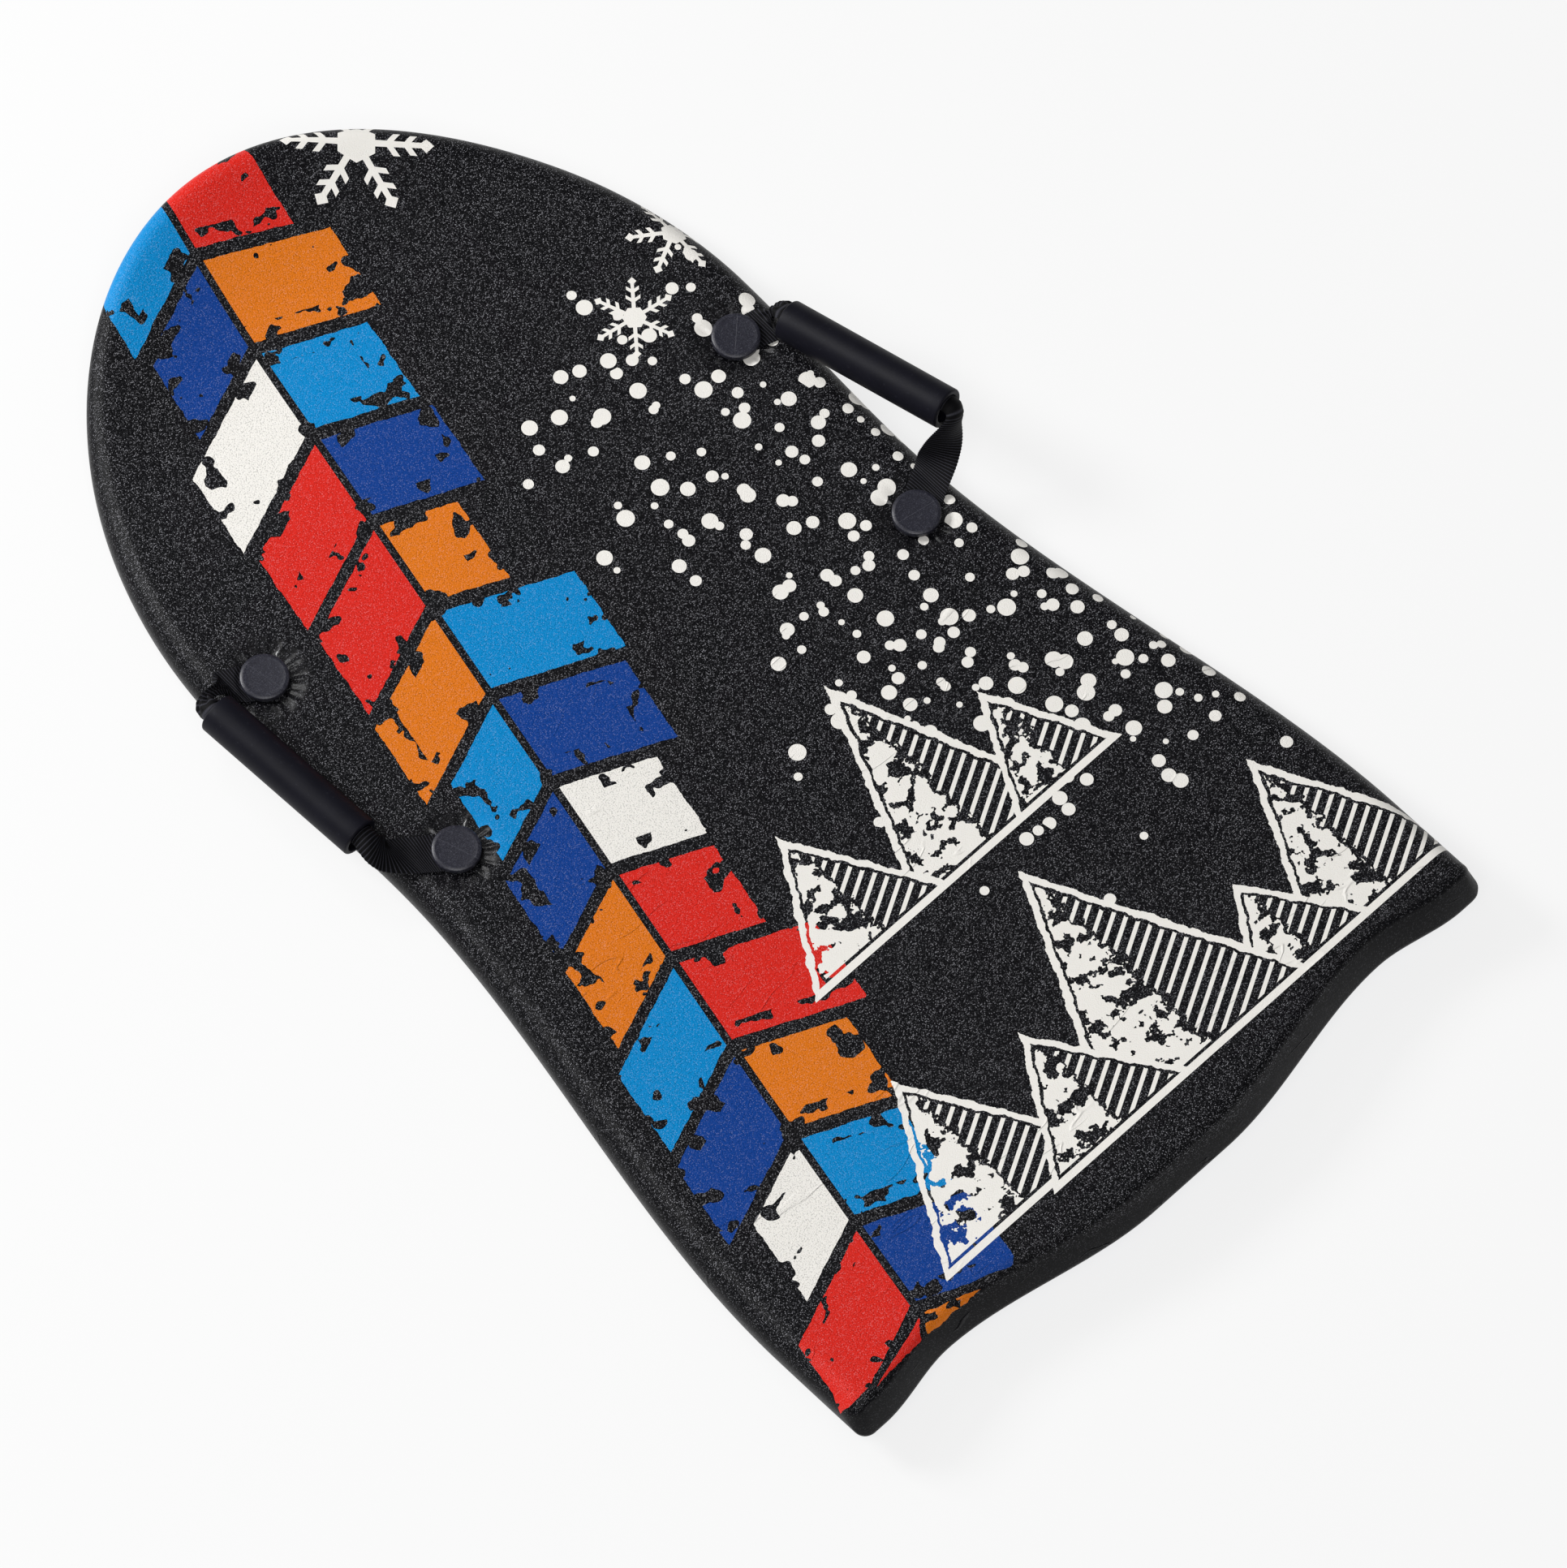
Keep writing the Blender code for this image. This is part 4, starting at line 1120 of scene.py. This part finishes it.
def turned(profile):
    """Points and faces of a profile of radius and height, turned about Z."""
    points, faces, rings = [], [], []
    for radius, z in profile:
        if radius == 0:
            rings.append([len(points)] * ROUND_STEPS)
            points.append((0, 0, z))
        else:
            rings.append(range(len(points), len(points) + ROUND_STEPS))
            for i in range(ROUND_STEPS):
                angle = 2 * math.pi * i / ROUND_STEPS
                points.append((radius * math.cos(angle), radius * math.sin(angle), z))
    for first, second in zip(rings, rings[1:]):
        faces += [tuple(dict.fromkeys(face)) for face in joined_rows(first, second)]
    return points, faces


def rounding(radius, z, edge, start, end, steps=6):
    """Points of a rounded corner, with its arc's middle at a radius and a height."""
    angles = [math.radians(start + (end - start) * i / steps) for i in range(steps + 1)]
    return [(radius + edge * math.cos(a), z + edge * math.sin(a)) for a in angles]


# %% Moulded plastic
PLASTIC_DARK, PLASTIC_PALE, PLASTIC_MARK = srgb(17, 17, 25), srgb(38, 38, 50), srgb(104, 105, 116)
SCRATCHES = [
    # turn in degrees, width, level
    (20, 0.22, 0.7),
    (105, 0.2, 0.71),
]
SCRATCH_STRETCH, SCRATCH_EDGE = 0.02, 0.05
GRAIN_SIZE, CLOUD_SIZE, SCUFF_SIZE, SCUFF_LEVEL = 0.5, 2.5, 0.9, (0.46, 0.72)
PARTING_WIDTH = (0.06, 0.2)


def scratched(plastic, place, turn, size, level):
    """Long fine scratches that run at an angle in degrees."""
    x, y, z = plastic.parts(place)
    cos, sin = math.cos(math.radians(turn)), math.sin(math.radians(turn))
    beside, along = x * cos + y * sin, y * cos - x * sin
    lines = plastic.noise(plastic.joined(beside, along * SCRATCH_STRETCH, z), size, 1)
    return plastic.eased(lines, level, level + SCRATCH_EDGE)


def moulded_finish():
    """Dark blue-black plastic with fine scratches, a grain and a parting line from the mould."""
    plastic = Finish("moulded_plastic", specular_ior_level=0.4)
    place = plastic.place()
    own_x, _, _ = plastic.parts(plastic.millimetres(plastic.stored("own_place", "Vector")))
    grain = plastic.noise(place, GRAIN_SIZE, 3)
    cloud = plastic.noise(place, CLOUD_SIZE, 3, 0.65)
    scratches = 0.0
    for scratch in SCRATCHES:
        scratches = scratched(plastic, place, *scratch) | scratches
    parting = 1 - plastic.eased(abs(own_x), *PARTING_WIDTH)
    marks = scratches * 0.4 | parting * 0.3
    scuffs = plastic.eased(plastic.noise(place, SCUFF_SIZE, 4, 0.75), *SCUFF_LEVEL) * cloud
    colour = plastic.mix(cloud, PLASTIC_DARK, PLASTIC_PALE)
    plastic.set(
        base_color=plastic.mix(marks | scuffs * 0.7, colour, PLASTIC_MARK),
        roughness=0.27 + cloud * 0.2,
    )
    plastic.bump(grain * 0.05 - scratches * 0.05 - parting * 0.08, 0.001)
    return plastic


# %% Plugs
HEAD_HEIGHT, HEAD_EDGE, HEAD_EDGE_DROP, HEAD_EDGE_START = 0.0046, 0.0009, 0.0014, 62
HEAD_TOP = [
    # radius, and how far the face lies below the raised ring
    (0, 0.00022),
    (0.004, 0.0002),
    (0.010, 0.00012),
    (0.0128, 0.00008),
    (0.0132, 0),
    (0.0136, 0.00005),
]
HEAD_FOOT = 0.0004
SCREW_RADIUS, SCREW_END, SCREW_TIP = 0.005, 0.0236, 0.001
THREADS, THREAD_START, THREAD_PITCH, THREAD_DEPTH = 9, 0.004, 0.0021, 0.0006
plastic = moulded_finish()


def plug_profile():
    profile = [(radius, HEAD_HEIGHT - below) for radius, below in HEAD_TOP]
    middle = (HEAD_RADIUS - HEAD_EDGE, HEAD_HEIGHT - HEAD_EDGE_DROP)
    profile += rounding(*middle, HEAD_EDGE, HEAD_EDGE_START, 0)
    profile += [(HEAD_RADIUS, HEAD_FOOT), (HEAD_RADIUS - HEAD_FOOT, 0), (SCREW_RADIUS, 0)]
    for i in range(THREADS):
        z = -THREAD_START - i * THREAD_PITCH
        for part, depth in enumerate((0, THREAD_DEPTH, 0)):
            profile.append((SCREW_RADIUS - depth, z - part * THREAD_PITCH / 3))
    return profile + [(SCREW_RADIUS - SCREW_TIP, -SCREW_END), (0, -SCREW_END)]


def placed_on_plugs(name, template, z):
    """The template repeated at the four plug places by a tree, as one piece."""
    store(template, "own_place", [vertex.co for vertex in template.data.vertices])
    mesh = bpy.data.meshes.new(name)
    places = [(plug.x, plug.y - MIDDLE_STATION, z) for plug in PLUGS.values()]
    mesh.from_pydata(places, [], [])
    piece = linked(name, mesh)
    tree = Tree("plug_places", most_turn=math.pi)
    shape = tree.node("GeometryNodeObjectInfo", {}, {"Object": template}, "Geometry")
    values = {3: tree.input("Most turn"), "Seed": 7}
    rotation = tree.node(
        "ShaderNodeCombineXYZ", {}, {"Z": tree.node("FunctionNodeRandomValue", {}, values, 1)}
    )
    values = {"Points": tree.input("Geometry"), "Instance": shape, "Rotation": rotation}
    tree.end(tree.node("GeometryNodeInstanceOnPoints", {}, values), plastic)
    grown(piece, tree)
    bpy.data.objects.remove(template)
    smoothed(piece.data)
    return piece


head_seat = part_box("right_front_plug")[1].z - HEAD_HEIGHT
plug_template = new_piece("plug_template", *turned(plug_profile()), plastic)
plugs = placed_on_plugs("handle_plugs", plug_template, head_seat)
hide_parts(*[f"{name}_plug" for name in PLUG_NAMES])
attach(plugs, "board")

# %% Nuts
NUT_GAP = 0.0003
FLANGE_RADIUS, FLANGE_TOP, FLANGE_RECESS, FLANGE_EDGE = 0.016, 0.0025, 0.0003, 0.0006
FLANGE_GROOVE = [
    # radius and depth
    (0.012, 0),
    (0.0122, 0.0003),
    (0.0130, 0.0003),
    (0.0132, 0),
]
SLEEVE_RADIUS, SLEEVE_TOP, NUT_FLOOR = 0.008, head_seat - NUT_GAP, 0.005
COIN_SLOT_LENGTH, COIN_SLOT_WIDTH, COIN_SLOT_DEPTH = 0.020, 0.0024, 0.0012


def nut_profile():
    face = [(0, FLANGE_RECESS)]
    face += [(radius, FLANGE_RECESS + depth) for radius, depth in FLANGE_GROOVE]
    middle = (FLANGE_RADIUS - FLANGE_EDGE, FLANGE_RECESS + FLANGE_EDGE)
    edge = rounding(*middle, FLANGE_EDGE, -80, 0, 4)
    bore = SCREW_RADIUS + NUT_GAP
    sleeve = [(FLANGE_RADIUS, FLANGE_TOP), (SLEEVE_RADIUS, FLANGE_TOP), (SLEEVE_RADIUS, SLEEVE_TOP)]
    return face + edge + sleeve + [(bore, SLEEVE_TOP), (bore, NUT_FLOOR), (0, NUT_FLOOR)]


def cut_coin_slot(nut):
    """Cuts a straight coin slot across the flange."""
    bm = bmesh.new()
    size = Matrix.Diagonal((COIN_SLOT_LENGTH, COIN_SLOT_WIDTH, 2 * COIN_SLOT_DEPTH, 1))
    bmesh.ops.create_cube(bm, size=1, matrix=Matrix.Translation((0, 0, FLANGE_RECESS)) @ size)
    mesh = bpy.data.meshes.new("coin_slot")
    bm.to_mesh(mesh)
    bm.free()
    cutter = linked("coin_slot", mesh)
    modifier = nut.modifiers.new("coin_slot", "BOOLEAN")
    modifier.operation, modifier.solver, modifier.object = "DIFFERENCE", "EXACT", cutter
    made_plain(nut)
    bpy.data.objects.remove(cutter)


nut_template = new_piece("nut_template", *turned(nut_profile()), plastic)
cut_coin_slot(nut_template)
nuts = placed_on_plugs("barrel_nuts", nut_template, 0.0)
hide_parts(*[f"{name}_nut" for name in PLUG_NAMES])
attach(nuts, "board")

# %% [markdown]
# ## Webbing
# The handles are nylon webbing, 25 mm wide, woven with ribs across it. Each strap comes out
# from under its plug head, leaves the deck, bunches and twists, and rolls into the grip.
# The solids part it on the line where it bends. Its middle is hidden in the grip and needs
# no ribs.

# %% Ribs
RIB_PITCH, RIB_HEIGHT = 0.0017, 0.00018
YARN_PITCH, FUZZ_SIZE, RIB_HIGHLIGHT_SPAN = 0.8, 0.35, (0.55, 1.0)
NYLON_DARK, NYLON_HIGHLIGHT = srgb(3, 3, 5), srgb(62, 62, 70)


def rib_tree(finish):
    """Raises ribs by the way along the strap that each point stores."""
    tree = Tree("webbing_ribs", rib_pitch=RIB_PITCH, rib_height=RIB_HEIGHT)
    way = tree.node("GeometryNodeInputNamedAttribute", {}, {"Name": "way_along"})
    share = tree.node("GeometryNodeInputNamedAttribute", {}, {"Name": "ribbed"})
    turns = tree.maths("DIVIDE", way, tree.input("Rib pitch"))
    wave = tree.maths("SINE", tree.maths("MULTIPLY", turns, 2 * math.pi))
    raised = tree.maths("MULTIPLY", wave, tree.input("Rib height"))
    height = tree.maths("MULTIPLY", raised, share)
    normal = tree.node("GeometryNodeInputNormal", {}, {})
    offset = tree.node("ShaderNodeVectorMath", {"operation": "SCALE"}, {0: normal, "Scale": height})
    values = {"Geometry": tree.input("Geometry"), "Offset": offset}
    tree.end(tree.node("GeometryNodeSetPosition", {}, values), finish)
    return tree


def webbing_finish():
    """Black nylon yarn, with a highlight painted along the ribs' crowns and yarns that cross them.
    """
    nylon = Finish("nylon_webbing", roughness=0.65, specular_ior_level=0.12)
    place = nylon.millimetres(nylon.stored("strap_place", "Vector"))
    across, along, _ = nylon.parts(place)
    rib = abs((along / (RIB_PITCH * 1000) + 0.25) % 1 - 0.5) * 2
    yarn = abs((across / YARN_PITCH) % 1 - 0.5) * 2
    fuzz = nylon.noise(place, FUZZ_SIZE, 3)
    # Painted highlight: the ribs' crowns are painted paler than the black yarn
    painted_rib_highlight = nylon.eased(rib, *RIB_HIGHLIGHT_SPAN) * (0.35 + yarn * 0.65)
    nylon.set(base_color=nylon.mix(painted_rib_highlight * (0.5 + fuzz), NYLON_DARK, NYLON_HIGHLIGHT))
    nylon.bump(rib * 0.6 + yarn * 0.25 + fuzz * 0.15, 0.00022)
    return nylon


webbing = webbing_finish()
ribs = rib_tree(webbing)
print(f"ribs {RIB_PITCH * 1000:.1f} mm apart")

# %% Strap sections
STRAP_TAIL = 0.0085
STRAP_ACROSS = 24
STRAP_FOLDS = 3
SELVEDGE_THINNING, SELVEDGE_POWER = 0.45, 10
SEAT_RADIUS = 0.0158
SECTION_STEP = RIB_PITCH / 4
STRAP_SMOOTH_ANGLE = 50
joints = {joint["name"]: joint for joint in frame["joints"]}


def strap_ring(middle, across, out, width, fold=0.0, curl=0.0):
    """One section of the strap: a flat band, folded lengthwise or rolled, with soft edges."""
    upper, lower = [], []
    for i in range(STRAP_ACROSS + 1):
        share = i / STRAP_ACROSS
        u = (share - 0.5) * width * math.cos(fold)
        turn = u * curl
        sideways = math.sin(turn) / curl if curl else u
        sink = (1 - math.cos(turn)) / curl if curl else 0
        away_from = out * math.cos(turn) + across * math.sin(turn)
        pleat = (1 - math.cos(2 * math.pi * STRAP_FOLDS * share)) / 2
        ridge = width / (2 * STRAP_FOLDS) * math.sin(fold) * pleat
        point = middle + across * sideways - out * sink + away_from * ridge
        half = STRAP_THICKNESS / 2 * (1 - SELVEDGE_THINNING * abs(2 * share - 1) ** SELVEDGE_POWER)
        upper.append(point + away_from * half)
        lower.append(point - away_from * half)
    return upper + lower[::-1]


def strap_piece(name, rings, way, ribbed):
    """A strap from its sections, with its ribs raised."""
    count = len(rings[0])
    points = [point for ring in rings for point in ring]
    faces = stacked_rows(len(rings), count)
    for start in (0, (len(rings) - 1) * count):
        upper = range(start, start + count // 2)
        lower = range(start + count - 1, start + count // 2 - 1, -1)
        faces += joined_rows(upper, lower, closed=False)
    piece = new_piece(name, points, faces, webbing, STRAP_SMOOTH_ANGLE)
    half = np.linspace(-STRAP_WIDTH / 2, STRAP_WIDTH / 2, STRAP_ACROSS + 1)
    across = np.tile(np.concatenate([half, half[::-1]]), len(rings))
    along = np.repeat(way, count)
    store(piece, "strap_place", np.column_stack([across, along, np.zeros(len(along))]))
    store(piece, "way_along", along)
    store(piece, "ribbed", np.repeat(ribbed, count))
    return grown(piece, ribs)


# %% Strap legs
GRIP_LENGTH, GRIP_RADIUS, GRIP_WALL, GRIP_EDGE = 0.124, 0.0135, 0.004, 0.0014
GRIP_GAP = 0.0003
ROLL_RADIUS = GRIP_RADIUS - GRIP_WALL - GRIP_GAP - STRAP_THICKNESS / 2
MOUTH_LEAD, CURL_START, BUNCH_SPAN = 0.0005, 0.2, 0.35
CURVE_SAMPLES = 401
LEGS = {
    # climb, gather and twist in degrees, and how far the curve keeps its first and last way
    "right_front": (8, 62, -90, 0.010, 0.003),
    "right_rear": (20, 0, 90, 0.020, 0.004),
    "left_front": (18, 66, -90, 0.010, 0.003),
    "left_rear": (15, 0, 0, 0.020, 0.010),
}


def curve_point(ends, t):
    """Point and direction on a cubic curve."""
    a, b, c, d = ends
    s = 1 - t
    point = a * s**3 + b * (3 * s * s * t) + c * (3 * s * t * t) + d * t**3
    along = (b - a) * (s * s) + (c - b) * (2 * s * t) + (d - c) * (t * t)
    return point, along.normalized()


def even_shares(ends, step):
    """Shares of a curve that lie one step apart along it, and their ways."""
    fine = np.linspace(0, 1, CURVE_SAMPLES)
    line = np.array([curve_point(ends, t)[0] for t in fine])
    way = np.concatenate([[0], np.cumsum(np.linalg.norm(np.diff(line, axis=0), axis=1))])
    even = np.linspace(0, way[-1], round(way[-1] / step) + 1)
    return np.interp(even, way, fine), even


def end_rings(name, hinge, towards):
    """Sections of a strap's flat end, from its cut edge under the plug to the swing line."""
    heading, plug = math.radians(STRAP_HEADINGS[name]), PLUGS[name]
    reach = hinge.x - abs(plug.x)
    along = Vector((math.cos(heading), math.sin(heading), 0))
    across = Vector((math.sin(heading), -math.cos(heading), 0)) * towards
    length = reach / math.cos(heading) + STRAP_TAIL
    count = round(length / SECTION_STEP)
    rings = []
    for k in range(count):
        ring = []
        for point in strap_ring(Vector((0, 0, 0)), across, Vector((0, 0, 1)), STRAP_WIDTH):
            end = (reach - point.x) / math.cos(heading)
            shift = (end + STRAP_TAIL) * k / count - STRAP_TAIL
            flat = Vector((point.x, point.y, 0)) + along * shift
            rise = float(ease((flat.length - SEAT_RADIUS) / (reach - SEAT_RADIUS)))
            z = hinge.z - BOWL_DEPTH * (1 - rise) + point.z
            ring.append(Vector((abs(plug.x) + flat.x, plug.y - MIDDLE_STATION + flat.y, z)))
        rings.append(ring)
    return rings, [length * k / count for k in range(count)], length


def leg_rings(name, hinge, mouth, inward, towards):
    """Sections of a strap leg from the swing line to the grip's mouth."""
    *angles, first, last = LEGS[name]
    heading, climb, gather, twist = [math.radians(a) for a in (STRAP_HEADINGS[name], *angles)]
    root = Vector((0, -towards, 0))
    flat = Vector((math.cos(heading), math.sin(heading), 0))
    ahead = flat * math.cos(climb) + Vector((0, 0, math.sin(climb)))
    plug = PLUGS[name]
    start_y = plug.y - MIDDLE_STATION + (hinge.x - abs(plug.x)) * math.tan(heading)
    start = Vector((hinge.x, start_y, hinge.z))
    rolled = mouth - inward * MOUTH_LEAD
    ends = (start, start + ahead * first, rolled - inward * last, rolled)
    shares, way = even_shares(ends, SECTION_STEP)
    up, rings = Vector((0, 0, 1)), []
    for t in shares:
        point, along = curve_point(ends, t)
        up = (up - along * up.dot(along)).normalized()
        curl = float(ease((t - CURL_START) / (1 - CURL_START))) / ROLL_RADIUS
        fold = gather * float(ease(t / BUNCH_SPAN) * ease((1 - t) / BUNCH_SPAN))
        outer = Quaternion(along, twist * float(ease(t))) @ up
        square = (along * towards).cross(outer)
        across = root.lerp(square, float(ease(t / BUNCH_SPAN))).normalized()
        middle = point + outer * ROLL_RADIUS * float(ease(t))
        width = STRAP_WIDTH / across.dot(square)
        rings.append(strap_ring(middle, across, outer, width, fold, curl))
    return rings, list(way), outer


# %% Whole straps
HIDDEN_SHARES = np.linspace(0.08, 0.92, 6).tolist()


def strap(side_name, hinge):
    """One strap: a flat end, a leg, the part rolled inside the grip, a leg and a flat end."""
    side = 1 if side_name == "right" else -1
    spin = joints[f"{side_name}_grip_spin"]
    places = [hinge, spin["pos_m"], spin["axis"]]
    hinge, middle, aft = [Vector((side * x, y, z)) for x, y, z in places]
    halves, mouths, ups = [], [], []
    for end, towards in (("front", 1), ("rear", -1)):
        name = f"{side_name}_{end}"
        mouth = middle - aft * towards * GRIP_LENGTH / 2
        flat, flat_way, length = end_rings(name, hinge, towards)
        leg, leg_way, up = leg_rings(name, hinge, mouth, aft * towards, towards)
        halves.append((flat + leg, flat_way + [length + w for w in leg_way]))
        mouths.append(mouth)
        ups.append(up)
    (rings, way), (rear_rings, rear_way) = halves
    ribbed = [1.0] * len(rings)
    start = way[-1]
    for share in HIDDEN_SHARES:
        up = ups[0].slerp(ups[1], share)
        point = mouths[0].lerp(mouths[1], share) + up * ROLL_RADIUS
        rings.append(strap_ring(point, aft.cross(up), up, STRAP_WIDTH, 0, 1 / ROLL_RADIUS))
        way.append(start + share * GRIP_LENGTH)
        ribbed.append(0.0)
    total = start + GRIP_LENGTH + rear_way[-1]
    rings += rear_rings[::-1]
    way += [total - w for w in rear_way[::-1]]
    ribbed += [1.0] * len(rear_rings)
    print(f"{side_name} strap is {total * 1000:.0f} mm long")
    rings = [[Vector((side * p.x, p.y, p.z)) for p in ring] for ring in rings]
    return strap_piece(f"{side_name}_strap_webbing", rings, way, ribbed)


for side_name in ("right", "left"):
    hinge = Vector(joints[f"{side_name}_handle_swing"]["pos_m"])
    piece = strap(side_name, hinge)
    solids = ("front_strap_end", "strap_loop", "rear_strap_end")
    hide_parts(*[f"{side_name}_{solid}" for solid in solids])
    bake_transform(piece)

# %% [markdown]
# ## Grips
# Each grip is a thick rubber-like tube that slides and spins on the webbing. It is dead
# straight, with small rounded edges and a satin surface that takes a broad soft highlight.
# It is turned on the same lathe, then laid along the axis that the solids give.

# %% Grip tubes
RUBBER_DARK, RUBBER_LIGHT, RUBBER_MARK = srgb(11, 11, 18), srgb(18, 18, 27), srgb(62, 64, 72)
RUBBER_GRAIN_SIZE, RUBBER_CLOUD_SIZE, RUBBER_MARK_SIZE, MARK_LEVEL = 0.45, 14, 3.5, (0.62, 0.7)
GRIP_BANDS = 20


def rubber_finish():
    """Satin black rubber with a very fine grain and faint worn patches."""
    rubber = Finish("grip_rubber", specular_ior_level=0.13)
    place = rubber.place()
    grain = rubber.noise(place, RUBBER_GRAIN_SIZE, 3)
    cloud = rubber.noise(place, RUBBER_CLOUD_SIZE, 2)
    marks = rubber.eased(rubber.noise(place, RUBBER_MARK_SIZE, 4, 0.7), *MARK_LEVEL)
    colour = rubber.mix(cloud, RUBBER_DARK, RUBBER_LIGHT)
    rubber.set(
        base_color=rubber.mix(marks * 0.2, colour, RUBBER_MARK),
        roughness=0.44 + cloud * 0.1 + marks * 0.06,
    )
    rubber.bump(grain * 0.05 + cloud * 0.05, 0.001)
    return rubber


def grip_profile():
    half = GRIP_LENGTH / 2 - GRIP_EDGE
    outer, inner = GRIP_RADIUS - GRIP_EDGE, GRIP_RADIUS - GRIP_WALL + GRIP_EDGE
    profile = rounding(outer, -half, GRIP_EDGE, -90, 0)
    profile += [(GRIP_RADIUS, -half + 2 * half * i / GRIP_BANDS) for i in range(1, GRIP_BANDS)]
    profile += rounding(outer, half, GRIP_EDGE, 0, 90)
    profile += rounding(inner, half, GRIP_EDGE, 90, 180)
    return profile + rounding(inner, -half, GRIP_EDGE, 180, 270)


rubber = rubber_finish()
profile = grip_profile()
points, faces = turned(profile + profile[:1])
count = len(points) - ROUND_STEPS
faces = [tuple(i % count for i in face) for face in faces]
for side_name in ("right", "left"):
    spin = joints[f"{side_name}_grip_spin"]
    turn = Vector((0, 0, 1)).rotation_difference(Vector(spin["axis"])).to_matrix()
    placed = [turn @ Vector(p) + Vector(spin["pos_m"]) for p in points[:count]]
    grip = new_piece(f"{side_name}_grip_tube_rubber", placed, faces, rubber)
    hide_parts(f"{side_name}_grip")
    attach(grip, f"{side_name}_grip_tube")

# %% [markdown]
# ## Studio
# The photograph was lit softly from above the nose, on a background near white. A large
# panel far beyond the nose lights the pebbles' relief and gives the grips their highlight,
# with a small weak one nearer to help; the pebbles' glitter is also painted into the film's
# colour. A wide panel high over the left of the tail keeps the print even, and a dim world
# fills the shadows. The floor glows, like paper lit from behind, and the plain view transform
# keeps the inks as bright as they were mixed.

# %% Lights and floor
WORLD_STRENGTH = 0.16
FLOOR_GLOW, FLOOR_HALF = 0.79, 15
FLOOR_DARK, FLOOR_LIGHT = (0.155, 0.155, 0.155), (0.16, 0.16, 0.16)
PANELS = [
    # place, width, height, watts
    ((0.0, 1.3, 1.9), 0.6, 0.5, 5),
    ((-1.5, 2.9, 2.2), 1.3, 1.0, 140),
    ((-1.7, -1.5, 4.2), 2.4, 2.4, 90),
]


def add_studio():
    scene = bpy.context.scene
    scene.view_settings.view_transform = "Standard"
    world = bpy.data.worlds.new("studio")
    world.use_nodes = True
    background = world.node_tree.nodes["Background"]
    background.inputs["Strength"].default_value = WORLD_STRENGTH
    background.inputs["Color"].default_value = (1, 1, 1, 1)
    scene.world = world
    for number, (place, width, height, watts) in enumerate(PANELS):
        data = bpy.data.lights.new(f"panel_{number}", "AREA")
        data.shape, data.size, data.size_y, data.energy = "RECTANGLE", width, height, watts
        panel = linked(f"panel_{number}", data)
        panel.location = place
        panel.rotation_euler = (-Vector(place)).to_track_quat("-Z", "Y").to_euler()
    paper = Finish("floor_paper", roughness=0.9, specular_ior_level=0.0)
    spots = paper.noise(paper.place(), 900, 1)
    paper.set(base_color=paper.mix(spots, FLOOR_DARK, FLOOR_LIGHT))
    paper.set(emission_color=(1.0, 1.0, 1.0), emission_strength=FLOOR_GLOW)
    mesh = bpy.data.meshes.new("floor")
    corners = [(FLOOR_HALF * x, FLOOR_HALF * y, 0) for x, y in ((-1, -1), (1, -1), (1, 1), (-1, 1))]
    mesh.from_pydata(corners, [], [(0, 1, 2, 3)])
    mesh.materials.append(paper.material)
    floor = linked("floor", mesh)


add_studio()
